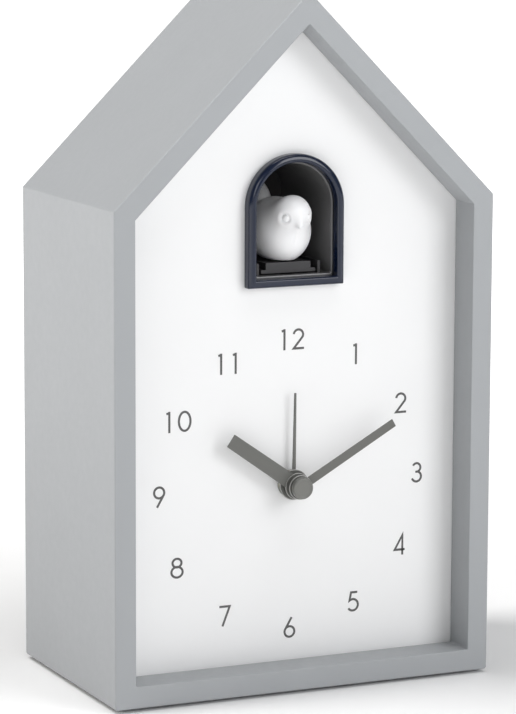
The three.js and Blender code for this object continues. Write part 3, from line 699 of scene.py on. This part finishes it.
def make_hub_cap():
    """The turned cap on the minute arbor, a little narrower than the CAD's, with a dished face."""
    low, high = node_box("hub_cap")
    radius = (high.x - low.x) / 2 * 0.96
    front = low.y
    profile = [
        (0, front + 0.14), (radius * 0.72, front + 0.12), (radius * 0.8, front), (radius, front + 0.05),
        (radius, high.y), (0, high.y),
    ]
    soft = rounded(profile, [0, 0.2, 0.12, 0.5, 0.2, 0], 6, closed=False)
    cap = lathe("arbor_cap", soft, (0.0, DIAL_Z), segments=96)
    # Its grey is lighter than the hands': painted light, for the light the cap catches at the front.
    return place(cap, "minute", "hand_grey", "hub_cap", finish=CAP_PAINTED_LIGHT)


# ------------------------ numerals

DIGIT_HEIGHT = 6.2
STROKE = 0.67
# Each stroke's ink is a little thicker than the last, so that no two lie in one plane.
INK_THICK = 0.03
INK_STEP = 0.004
DIGIT_GAP = 2.4
ELEVEN_GAP = 3.4
TWO_DIGIT_SHIFT = 0.6


def digit_strokes(digit):
    """The centre lines of a digit, and its width, in mm. The foot of the digit is at 0."""
    top = DIGIT_HEIGHT
    foot = STROKE / 2
    head = top - STROKE / 2
    if digit == "1":
        return [[(0.9, 0), (0.9, top)], [(0.0, top - 0.62), (0.9, top - 0.42)]], 1.2
    if digit == "2":
        return [[*arc(1.78, head - 1.5, 1.5, 1.5, 172, -28), (0.28, foot), (3.6, foot)]], 3.6
    if digit == "3":
        upper = arc(1.72, head - 1.3, 1.3, 1.3, 152, -74)
        lower = arc(1.72, foot + 1.52, 1.52, 1.52, 74, -162)
        return [[*upper, (1.35, 3.28)], [(1.36, 3.28), *lower]], 3.6
    if digit == "4":
        return [[(2.85, 0), (2.85, top - 0.2), (0.3, 1.62), (3.65, 1.62)]], 3.65
    if digit == "5":
        bowl = arc(1.72, foot + 1.72, 1.72, 1.72, 128, -146)
        return [[(3.2, head), (1.15, head), *bowl]], 3.6
    if digit == "6":
        ring = arc(1.87, foot + 1.58, 1.58, 1.58, 155, 515, 40)
        return [ring, [ring[0], (2.55, top)]], 3.75
    if digit == "7":
        return [[(0, head), (3.3, head), (1.0, 0)]], 3.6
    if digit == "8":
        lower = arc(2.05, foot + 1.56, 1.76, 1.56, 90, 450, 40)
        upper = arc(2.05, head - 1.26, 1.4, 1.26, -90, 270, 40)
        return [lower, upper], 4.1
    if digit == "9":
        ring = arc(1.87, head - 1.58, 1.58, 1.58, -25, 335, 40)
        return [ring, [ring[0], (1.2, 0)]], 3.75
    return [arc(2.1, top / 2, 1.81, head - top / 2, 0, 360, 48)], 4.2


def ribbon_sides(points, ring, width):
    """The two edges of a strip along the points, with mitred corners."""
    count = len(points)
    left, right = [], []
    for index, point in enumerate(points):
        before = points[index - 1] if ring or index > 0 else point * 2 - points[1]
        after = points[(index + 1) % count] if ring or index < count - 1 else point * 2 - points[-2]
        first = (point - before).normalized()
        second = (after - point).normalized()
        mean = (first + second).normalized()
        side = Vector((-mean.y, mean.x)) * width / 2 / max(0.3, mean.dot(first))
        left.append(point + side)
        right.append(point - side)
    return left, right


def ribbon(name, points, width, thick):
    """A thin strip of ink along the points, on the dial."""
    points = [Vector(p) for p in points]
    ring = (points[0] - points[-1]).length < 1e-6
    if ring:
        points = points[:-1]
    verts = []
    for pair in zip(*ribbon_sides(points, ring, width)):
        for x, z in pair:
            verts.append((x, DIAL_Y - thick, z))
            verts.append((x, DIAL_Y + 0.02, z))
    faces = []
    count = len(points)
    for index in range(count if ring else count - 1):
        a = index * 4
        b = (index + 1) % count * 4
        faces += [(a, b, b + 2, a + 2), (a + 1, a + 3, b + 3, b + 1)]
        faces += [(a, a + 1, b + 1, b), (a + 2, b + 2, b + 3, a + 3)]
    if not ring:
        end = (count - 1) * 4
        faces += [(0, 2, 3, 1), (end, end + 1, end + 3, end + 2)]
    return new_object(name, verts, faces)


def make_number(text):
    """One number of the dial, drawn upright and centred on its hour."""
    gap = ELEVEN_GAP if text == "11" else DIGIT_GAP
    strokes, pen = [], 0.0
    for digit in text:
        lines, width = digit_strokes(digit)
        for line in lines:
            strokes.append([(x + pen, z) for x, z in line])
        pen += width + gap
    total = pen - gap
    angle = math.radians(30 * int(text))
    shift = TWO_DIGIT_SHIFT if len(text) > 1 else 0.0
    across = NUMERAL_REACH[0] * math.sin(angle)
    up = NUMERAL_REACH[1] * math.cos(angle)
    x = across - total / 2 + shift
    z = DIAL_Z - NUMERAL_DROP + NUMERAL_RISE * across + up - DIGIT_HEIGHT / 2
    parts = []
    for index, line in enumerate(strokes):
        moved = [(px + x, pz + z) for px, pz in line]
        parts.append(ribbon("stroke", moved, STROKE, INK_THICK + INK_STEP * index))
    number = join("numeral_" + text, parts)
    return place(number, "case", "hand_grey", angle=30, finish=INK)


# ------------------------ the bird

# The rounded forms, each as its centre and its radii along x, y and z.
BIRD_BODY = (np.array([0.0, -14.2, 134.1]), np.array([8.6, 12.0, 9.5]))
BIRD_CHEST = (np.array([0.0, -18.8, 134.2]), np.array([8.0, 8.2, 9.1]))
BIRD_HEAD = (np.array([0.0, -25.2, 139.8]), np.array([5.3, 5.3, 5.3]))
TAIL_AT = np.array([0.0, -3.6, 143.1])
TAIL_RADII = np.array([2.7, 1.9, 5.6])
TAIL_TILT = -0.75
BEAK_ROOT = np.array([0.0, -29.5, 138.2])
BEAK_TIP = np.array([0.0, -30.5, 136.5])
BIRD_BASE_Z = 125.6
EYE = np.array([4.1, -28.75, 138.75])


def ellipsoid(p, centre, radii):
    """Distance to an ellipsoid, near enough for a smooth union."""
    q = (p - centre) / radii
    length = np.linalg.norm(q, axis=1)
    scaled = np.linalg.norm(q / radii, axis=1)
    return length * (length - 1) / np.maximum(scaled, 1e-9)


def round_cone(p, start, end, first, last):
    """Distance to a rod whose radius runs from first to last."""
    line = end - start
    share = np.clip((p - start) @ line / (line @ line), 0, 1)
    nearest = start + share[:, None] * line
    return np.linalg.norm(p - nearest, axis=1) - (first + (last - first) * share)


def soft_min(a, b, width):
    """The lower of two distances, blended over the width."""
    h = np.clip(0.5 + 0.5 * (b - a) / width, 0, 1)
    return b + (a - b) * h - width * h * (1 - h)


def soft_max(a, b, width):
    """The higher of two distances, blended over the width."""
    return -soft_min(-a, -b, width)


def eye_relief(p):
    """Height of the eye marks: a bead, a groove round it, and a raised lid outside and above."""
    mirrored = np.abs(p[:, 0])
    away = np.stack([mirrored, p[:, 1], p[:, 2]], axis=1) - EYE
    distance = np.linalg.norm(away, axis=1)
    bead = 0.12 * np.exp(-((distance / 0.7) ** 2))
    groove = -0.5 * np.exp(-(((distance - 1.3) / 0.36) ** 2))
    outward = np.clip(0.35 + 0.45 * away[:, 1], 0.0, 1.0)
    lid = 0.14 * outward * np.exp(-(((distance - 2.5) / 0.6) ** 2))
    return bead + groove + lid


def chest_seam(p):
    """Height of the mould line down the middle of the chest."""
    line = 0.09 * np.exp(-((p[:, 0] / 0.28) ** 2))
    below_neck = np.clip((135.4 - p[:, 2]) / 1.0, 0, 1)
    at_front = np.clip((-14.0 - p[:, 1]) / 2.0, 0, 1)
    return line * below_neck * at_front


def bird_distance(p):
    """Signed distance to the bird: body, chest, head, tail and beak, cut flat at its base.

    The last number of each soft_min() is how widely the forms blend.
    """
    solid = soft_min(ellipsoid(p, *BIRD_BODY), ellipsoid(p, *BIRD_CHEST), 1.6)
    solid = soft_min(solid, ellipsoid(p, *BIRD_HEAD), 3.6)
    local = (p - TAIL_AT) @ np.array(Matrix.Rotation(TAIL_TILT, 3, "X"))
    solid = soft_min(solid, ellipsoid(local, np.zeros(3), TAIL_RADII), 0.8)
    solid = soft_min(solid, round_cone(p, BEAK_ROOT, BEAK_TIP, 1.3, 0.7), 1.3)
    solid = solid - eye_relief(p) - chest_seam(p)
    return soft_max(solid, BIRD_BASE_Z - p[:, 2], 0.4)


def project(p, distance, rounds=6):
    """Moves points onto the surface where the distance is 0."""
    step = 0.01
    for _ in range(rounds):
        value = distance(p)
        slope = np.zeros_like(p)
        for axis in range(3):
            offset = np.zeros(3)
            offset[axis] = step
            slope[:, axis] = (distance(p + offset) - distance(p - offset)) / (2 * step)
        size = np.maximum((slope**2).sum(1), 0.05)
        move = slope * (value / size)[:, None]
        length = np.linalg.norm(move, axis=1)
        limit = np.minimum(1, 0.4 / np.maximum(length, 1e-9))
        p = p - move * limit[:, None]
    return p


def shrink_wrap(obj, distance, rounds=6):
    """Projects every point of the mesh onto the surface."""
    count = len(obj.data.vertices)
    flat = np.zeros(count * 3)
    obj.data.vertices.foreach_get("co", flat)
    moved = project(flat.reshape(-1, 3), distance, rounds)
    obj.data.vertices.foreach_set("co", moved.ravel())
    obj.data.update()


def remesh(obj, size):
    """Even quads of that size over the whole mesh."""
    even = obj.modifiers.new("even", "REMESH")
    even.mode = "VOXEL"
    even.voxel_size = size
    return apply_modifiers(obj)


def make_bird(voxel=0.17):
    """The moulded bird, as the even skin of bird_distance()."""
    bm = bmesh.new()
    bmesh.ops.create_icosphere(bm, subdivisions=6, radius=1.0)
    mesh = bpy.data.meshes.new("bird_start")
    bm.to_mesh(mesh)
    bm.free()
    rays = np.array([v.co for v in mesh.vertices], float)
    rays /= np.linalg.norm(rays, axis=1)[:, None]
    centre = np.array([0.0, -15.0, 134.8])
    reach = np.full(len(rays), 2.0)
    for length in np.arange(2.0, 20.0, 0.1):
        inside = bird_distance(centre + rays * length) < 0
        reach[inside] = length
    mesh.vertices.foreach_set("co", (centre + rays * reach[:, None]).ravel())
    obj = add_object("cuckoo", mesh)
    remesh(obj, 0.4)
    shrink_wrap(obj, bird_distance, 8)
    remesh(obj, voxel)
    shrink_wrap(obj, bird_distance, 5)
    return place(obj, "bird", "bird_white", "bird", weighted=False)


# ------------------------ rear

# The speaker's slots fill a circle.
GRILLE_RADIUS = 16.5
SLOT_PITCH = 4.6
# How deep the recesses in the cover's back go.
COUNTERBORE_Y = 34.4
SWITCH_RECESS_Y = 34.5
SCOOP_Y = 34.8
SCOOP_RADIUS = 9.0
SCOOP_Z = 43.9
# The battery door turns about a pin at its lower edge.
DOOR_PIN = (35.0, 10.2)
GRIP_Z = 37.9
GRIP_RIBS = 4
# Where a cell's copper-coloured band starts, from its middle.
BAND_FROM = 11.0


def scoop_outline():
    """The finger scoop above the battery door: the part of a circle above its opening."""
    angle = math.asin((DOOR_OPENING[3] - SCOOP_Z) / SCOOP_RADIUS)
    return circle(SCOOP_RADIUS, (0.0, SCOOP_Z), 32, angle, math.pi - 2 * angle)


def cover_loops():
    """The cover's outline and the holes through it."""
    loops = [house(PANEL_INSET, INNER_CORNER)]
    loops.append(rectangle(*DOOR_OPENING, 0.8))
    loops.append(rectangle(*KNOB_OPENING, 1.2))
    loops.append(circle(3.3, TEST_BUTTON, 48))
    for row in range(-3, 4):
        offset = SLOT_PITCH * row
        half = math.sqrt(GRILLE_RADIUS**2 - offset**2)
        loops.append(slot_outline(half, 1.0, (SPEAKER[0], SPEAKER[1] + offset)))
    for x, z in SWITCHES:
        loops.append(rectangle(x - 5.0, x + 5.0, z - 1.8, z + 1.8, 0.3))
    for screw in SCREWS:
        loops.append(circle(1.2, screw, 32))
    return loops


def make_cover():
    """The rear cover, with its openings, and the recesses round its screws, switches and door."""
    cover = plate("cover", cover_loops(), COVER_Y, BACK_Y)
    outside = BACK_Y + 1.0
    cutters = []
    for screw in SCREWS:
        cutters.append(plate("counterbore", [circle(3.1, screw, 48)], COUNTERBORE_Y, outside))
    for x, z in SWITCHES:
        recess = rectangle(x - 8.0, x + 8.0, z - 3.5, z + 3.5, 1.0)
        cutters.append(plate("switch_recess", [recess], SWITCH_RECESS_Y, outside))
    lip = [(8.99, 41.5), *scoop_outline(), (-8.99, 41.5)]
    cutters.append(plate("scoop", [lip], SCOOP_Y, outside))
    cut(cover, *cutters)
    soften(cover, 0.25, 2)
    return place(cover, "case", "case_grey", "rear_cover")


def make_door():
    """The battery door: a plate with a round finger grip, ribs in the grip, and its pivot pin."""
    grip = plate("grip", [circle(7.0, (0.0, GRIP_Z), 56)], 35.0, 37.0)
    door = plate("door", [rectangle(-29.0, 29.0, DOOR_PIN[1], 41.9, 0.8)], 34.0, BACK_Y)
    cut(door, grip)
    soften(door, 0.25, 2)
    ribs = []
    for index in range(GRIP_RIBS):
        z = 34.4 + 2.1 * index
        half = math.sqrt(max(0.5, 5.9**2 - (z - GRIP_Z) ** 2))
        ribs.append(box("rib", (-half, 34.8, z - 0.35), (half, 35.55, z + 0.35), 0.22))
    profile = [(0, -30.4), (1.0, -30.4), (1.0, 30.4), (0, 30.4)]
    pin = lathe("pin", rounded(profile, [0, 0.2, 0.2, 0], 3, closed=False), DOOR_PIN, "X", 32)
    return place(join("door_plate", [door, pin, *ribs]), "battery_door", "case_grey", "battery_door")


def make_screw(node, name):
    """A pan-head screw with a cross slot."""
    centre = middle(node)
    profile = [(0, 35.9), (1.6, 35.86), (2.7, 35.3), (2.7, 34.7), (0.9, 34.7), (0.9, 23.5), (0, 22.9)]
    soft = rounded(profile, [0, 0.6, 0.35, 0.1, 0.1, 0.2, 0], 4, closed=False)
    head = lathe(name, soft, (centre.x, centre.z), segments=48)
    arms = []
    for half_x, half_z in ((1.5, 0.3), (0.3, 1.5)):
        low = (centre.x - half_x, 35.1, centre.z - half_z)
        high = (centre.x + half_x, 36.5, centre.z + half_z)
        arms.append(box("arm", low, high, 0))
    cut(head, *arms)
    return place(head, "case", "steel", node)


def flutes(count, depth, skirt_y):
    """Scales a knob's radius: shallow flutes behind the skirt."""

    def scale(angle, y):
        if y < skirt_y:
            return 1.0
        wave = 0.5 + 0.5 * math.cos(count * angle)
        return 1.0 - depth * wave**1.5

    return scale


def make_knob(node, name, body):
    """A fluted setting knob with a raised pointer bar."""
    low, high = node_box(node)
    centre = (low + high) / 2
    radius = (high.x - low.x) / 2
    back = high.y
    profile = [
        (0, back - 0.3), (radius - 1.6, back - 0.3), (radius - 1.2, back), (radius, back - 0.1),
        (radius, 30.2), (4.0, 29.6), (4.0, 28.5), (0, 28.5),
    ]
    soft = rounded(profile, [0, 0.2, 0.3, 0.7, 0.5, 0.2, 0.2, 0], 4, closed=False)
    grip = lathe(name, soft, (centre.x, centre.z), segments=196, shape=flutes(14, 0.10, 29.0))
    bar_low = (centre.x - 0.6, back - 0.6, centre.z + 0.8)
    bar_high = (centre.x + 0.6, back - 0.05, centre.z + radius - 1.9)
    bar = box("bar", bar_low, bar_high, 0.2)
    stem_profile = [(0, low.y), (1.5, low.y), (1.5, 28.6), (0, 28.6)]
    stem = lathe("stem", stem_profile, (centre.x, centre.z), segments=24)
    return place(join(name, [grip, bar, stem]), body, "control_black", node, angle=50)


def make_slider(node, name, body):
    """A switch nub with three grip ridges."""
    low, high = node_box(node)
    parts = [box(name, (low.x, low.y, low.z), (high.x, high.y - 0.5, high.z), 0.2)]
    pitch = (high.x - low.x) / 3
    for index in range(3):
        x = low.x + pitch * (index + 0.5)
        parts.append(box("ridge", (x - 0.32, high.y - 1.0, low.z), (x + 0.32, high.y, high.z), 0.24))
    return place(join(name, parts), body, "control_black", node)


def make_button():
    """The test button, its top slightly dished."""
    low, high = node_box("test_button")
    centre = (low + high) / 2
    profile = [
        (0, high.y - 0.3), (1.7, high.y - 0.2), (2.9, high.y), (2.9, 32.6),
        (3.9, 32.6), (3.9, low.y), (0, low.y),
    ]
    soft = rounded(profile, [0, 0.8, 0.35, 0.1, 0.2, 0.2, 0], 5, closed=False)
    button = lathe("button", soft, (centre.x, centre.z), segments=64)
    return place(button, "test_button", "control_black", "test_button")


def make_foot(node, name):
    """A rubber foot, flat below with a rounded rim and a shallow dish."""
    low, high = node_box(node)
    centre = (low + high) / 2
    radius = (high.x - low.x) / 2
    profile = [
        (0, 0.15), (radius * 0.45, 0.12), (radius * 0.6, low.z),
        (radius, low.z), (radius, high.z), (0, high.z),
    ]
    soft = rounded(profile, [0, 0.3, 0.3, 0.3, 0.1, 0], 4, closed=False)
    foot = lathe(name, soft, (centre.x, centre.y), "Z", 56)
    return place(foot, "case", "foot_rubber", node)


def make_battery(node, name):
    """A dry cell: a sleeve in two colours, its rolled metal ends, and the nub at one end."""
    low, high = node_box(node)
    centre = (low + high) / 2
    radius = (high.z - low.z) / 2
    towards = 1 if high.x > -low.x else -1
    end = min(high.x, -low.x)
    profile = [
        (0, -end + 0.25), (radius - 1.6, -end + 0.2), (radius - 1.2, -end),
        (radius - 0.1, -end + 0.1), (radius, -end + 0.9), (radius, BAND_FROM),
        (radius, end - 0.7), (radius - 0.5, end - 0.3), (radius - 1.0, end - 0.25),
        (radius - 1.4, end - 0.6), (3.0, end - 0.5), (2.7, end), (2.7, end + 1.0), (0, end + 1.0),
    ]
    radii = [0, 0.2, 0.15, 0.2, 0, 0, 0, 0.2, 0.15, 0.15, 0.15, 0.1, 0.4, 0]
    soft = rounded(profile, radii, 3, closed=False)
    turned = [(across, towards * reach) for across, reach in soft]
    cell = lathe(name, turned, (centre.y, centre.z), "X", 72)
    for finish in (MATERIALS["steel"], SLEEVE, BAND):
        cell.data.materials.append(finish)
    for face in cell.data.polygons:
        reach = face.center.x * towards
        on_sleeve = abs(reach) < end - 0.65
        face.material_index = (1 if reach < BAND_FROM else 2) if on_sleeve else 0
    return place(cell, "case", "battery", node)


def make_speaker_cone():
    """The paper cone, with its dust cap and a rolled surround."""
    centre = middle("speaker_cone")
    roll = []
    for step in range(9):
        angle = math.pi * step / 8
        roll.append((14.3 - 1.7 * math.cos(angle), 31.6 + 0.8 * math.sin(angle)))
    front = [(0, 29.3), (1.6, 29.1), (3.0, 28.5), (4.0, 27.6), (4.4, 27.1)]
    back = [(16.0, 31.1), (12.4, 31.0), (4.6, 26.5), (2.6, 28.0), (0, 28.6)]
    cone = lathe("speaker_paper", front + roll + back, (centre.x, centre.z), segments=80)
    return place(cone, "case", "cone", "speaker_cone")


# ------------------------ nodes that stay


def keep_node(name, node):
    """A CAD node that shows as it is: rounded edges, clean normals, and its slot's material."""
    slot = node.data.materials[0].name
    node.data.materials[0] = CARRIAGE if name == "bird_carriage" else MATERIALS[slot]
    weld = node.modifiers.new("weld", "WELD")
    weld.merge_threshold = 1e-6
    flat = node.modifiers.new("flat", "DECIMATE")
    flat.decimate_type = "DISSOLVE"
    flat.angle_limit = math.radians(1)
    bevel = node.modifiers.new("edges", "BEVEL")
    bevel.width = 0.00012
    bevel.segments = 2
    bevel.limit_method = "ANGLE"
    bevel.angle_limit = math.radians(50)
    bevel.use_clamp_overlap = True


# ------------------------ camera, lights and floor

# Places and distances in this section are in metres, and the camera's angles in degrees.
CAMERA_AT = (-0.4040, -0.8797, 0.2502)
CAMERA_YAW = 24.71
CAMERA_PITCH = 9.16
CAMERA_ROLL = 0.22
CAMERA_LENS = 166.2
# The floor's glow starts and is full at these distances from the clock, and from DIM_SPOT.
GLOW_FROM = 0.1
GLOW_TO = 0.9
DIM_SPOT = (0.2, -1.05, 0.0)
DIM_FROM = 0.35
DIM_TO = 1.0
# The lights point at AIM.
AIM = (0.0, 0.0, 0.1)
COOL = (0.975, 0.985, 1.0)
WARM = (1.0, 0.97, 0.935)
ROOM_LIGHT = 0.15
FLOOR_REACH = 30.0


def make_camera():
    """The photograph's view: left of the clock and a little above it."""
    data = bpy.data.cameras.new("camera")
    data.sensor_width = 36.0
    data.lens = CAMERA_LENS
    data.clip_start = 0.05
    data.clip_end = 60.0
    camera = add_object("camera", data)
    yaw = Matrix.Rotation(math.radians(-CAMERA_YAW), 4, "Z")
    pitch = Matrix.Rotation(math.radians(90 - CAMERA_PITCH), 4, "X")
    roll = Matrix.Rotation(math.radians(CAMERA_ROLL), 4, "Z")
    camera.matrix_world = Matrix.Translation(CAMERA_AT) @ yaw @ pitch @ roll
    bpy.context.scene.camera = camera


def area_light(name, at, target, size, watts, colour=(1.0, 1.0, 1.0)):
    """A square soft light that points at the target."""
    data = bpy.data.lights.new(name, "AREA")
    data.shape = "SQUARE"
    data.size = size
    data.energy = watts
    data.color = colour
    light = add_object(name, data)
    light.location = at
    direction = Vector(target) - Vector(at)
    light.rotation_mode = "QUATERNION"
    light.rotation_quaternion = direction.to_track_quat("-Z", "Y")


def rise_from(nodes, links, point, start, end):
    """0 within the start distance of a point on the floor, 1 beyond the end distance."""
    space = nodes.new("ShaderNodeTexCoord")
    away = nodes.new("ShaderNodeVectorMath")
    away.operation = "DISTANCE"
    away.inputs[1].default_value = point
    links.new(space.outputs["Object"], away.inputs[0])
    return ranged(nodes, links, away.outputs["Value"], 0.0, 1.0, start, end)


def floor_paint():
    """Pale paint that glows away from the clock, so that the floor fades to white.

    It doesn't glow round the spot that the window frame's front mirrors.
    """
    paint = material("floor_paint", (0.93, 0.93, 0.93), 0.6, grain=60, depth=1e-5, mottle=0.004)
    nodes = paint.node_tree.nodes
    links = paint.node_tree.links
    shader = nodes["Principled BSDF"]
    glow = nodes.new("ShaderNodeMath")
    glow.operation = "MULTIPLY"
    links.new(rise_from(nodes, links, (0.0, 0.0, 0.0), GLOW_FROM, GLOW_TO), glow.inputs[0])
    links.new(rise_from(nodes, links, DIM_SPOT, DIM_FROM, DIM_TO), glow.inputs[1])
    links.new(glow.outputs["Value"], shader.inputs["Emission Strength"])
    shader.inputs["Emission Color"].default_value = (1.0, 1.0, 1.0, 1.0)
    return paint


def make_room():
    """The even light of the room, and plain colours in the picture."""
    scene = bpy.context.scene
    scene.view_settings.view_transform = "Standard"
    world = bpy.data.worlds.new("room")
    world.use_nodes = True
    background = world.node_tree.nodes["Background"]
    background.inputs["Color"].default_value = (1.0, 1.0, 1.0, 1.0)
    background.inputs["Strength"].default_value = ROOM_LIGHT
    scene.world = world


def make_studio():
    """The room, soft lights at the front, left and top, and a pale floor."""
    make_room()
    area_light("key", (0.52, -0.95, 0.55), AIM, 0.6, 5.4, COOL)
    area_light("front_left", (-0.45, -1.45, 0.5), AIM, 0.5, 2.2, COOL)
    area_light("left", (-1.5, 0.5, 0.9), AIM, 1.0, 12.5, WARM)
    area_light("top", (0.1, -0.35, 1.9), AIM, 1.1, 13.0)
    area_light("roof", (-0.7, 0.25, 1.6), AIM, 0.5, 12.0)
    far = FLOOR_REACH
    corners = [(-far, -far, 0), (far, -far, 0), (far, far, 0), (-far, far, 0)]
    floor = new_object("floor", corners, [(0, 1, 2, 3)])
    floor.data.materials.append(floor_paint())


# ------------------------ the build

make_camera()
make_studio()
make_case()
make_dial()
make_window_frame()
make_niche()
make_hand(
    "alarm_pointer", near=0.5, far=0.3, length=27.1, hub=4.5, collar=3.5, bore=3.0,
    front=-27.3, back=-26.0, degrees=0.7, body="alarm", node="alarm_hand",
)
make_hand(
    "hour_pointer", near=2.25, far=2.1, length=26.0, hub=3.9, collar=2.9, bore=2.1,
    front=-29.8, back=-27.6, degrees=305.2, body="hour", node="hour_hand",
)
make_hand(
    "minute_pointer", near=1.3, far=1.2, length=34.7, hub=3.6, collar=2.4, bore=1.2,
    front=-31.8, back=-30.1, degrees=60.7, body="minute", node="minute_hand",
)
make_hub_cap()
for hour in range(1, 13):
    make_number(str(hour))
make_bird()
make_cover()
make_door()
for corner_name in ("lower_left", "lower_right", "upper_left", "upper_right"):
    make_screw("cover_screw_" + corner_name, "screw_" + corner_name)
make_knob("time_knob", "knob_time", "time_setting")
make_knob("alarm_knob", "knob_alarm", "alarm_setting")
make_slider("alarm_switch", "slider_alarm", "alarm_slider")
make_slider("chime_switch", "slider_chime", "chime_slider")
make_button()
make_battery("battery_lower", "cell_lower")
make_battery("battery_upper", "cell_upper")
make_speaker_cone()
for corner_name in ("front_left", "front_right", "rear_left", "rear_right"):
    make_foot("foot_" + corner_name, "pad_" + corner_name)

for node_name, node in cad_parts.items():
    if not node.hide_render:
        keep_node(node_name, node)

bpy.context.view_layer.update()
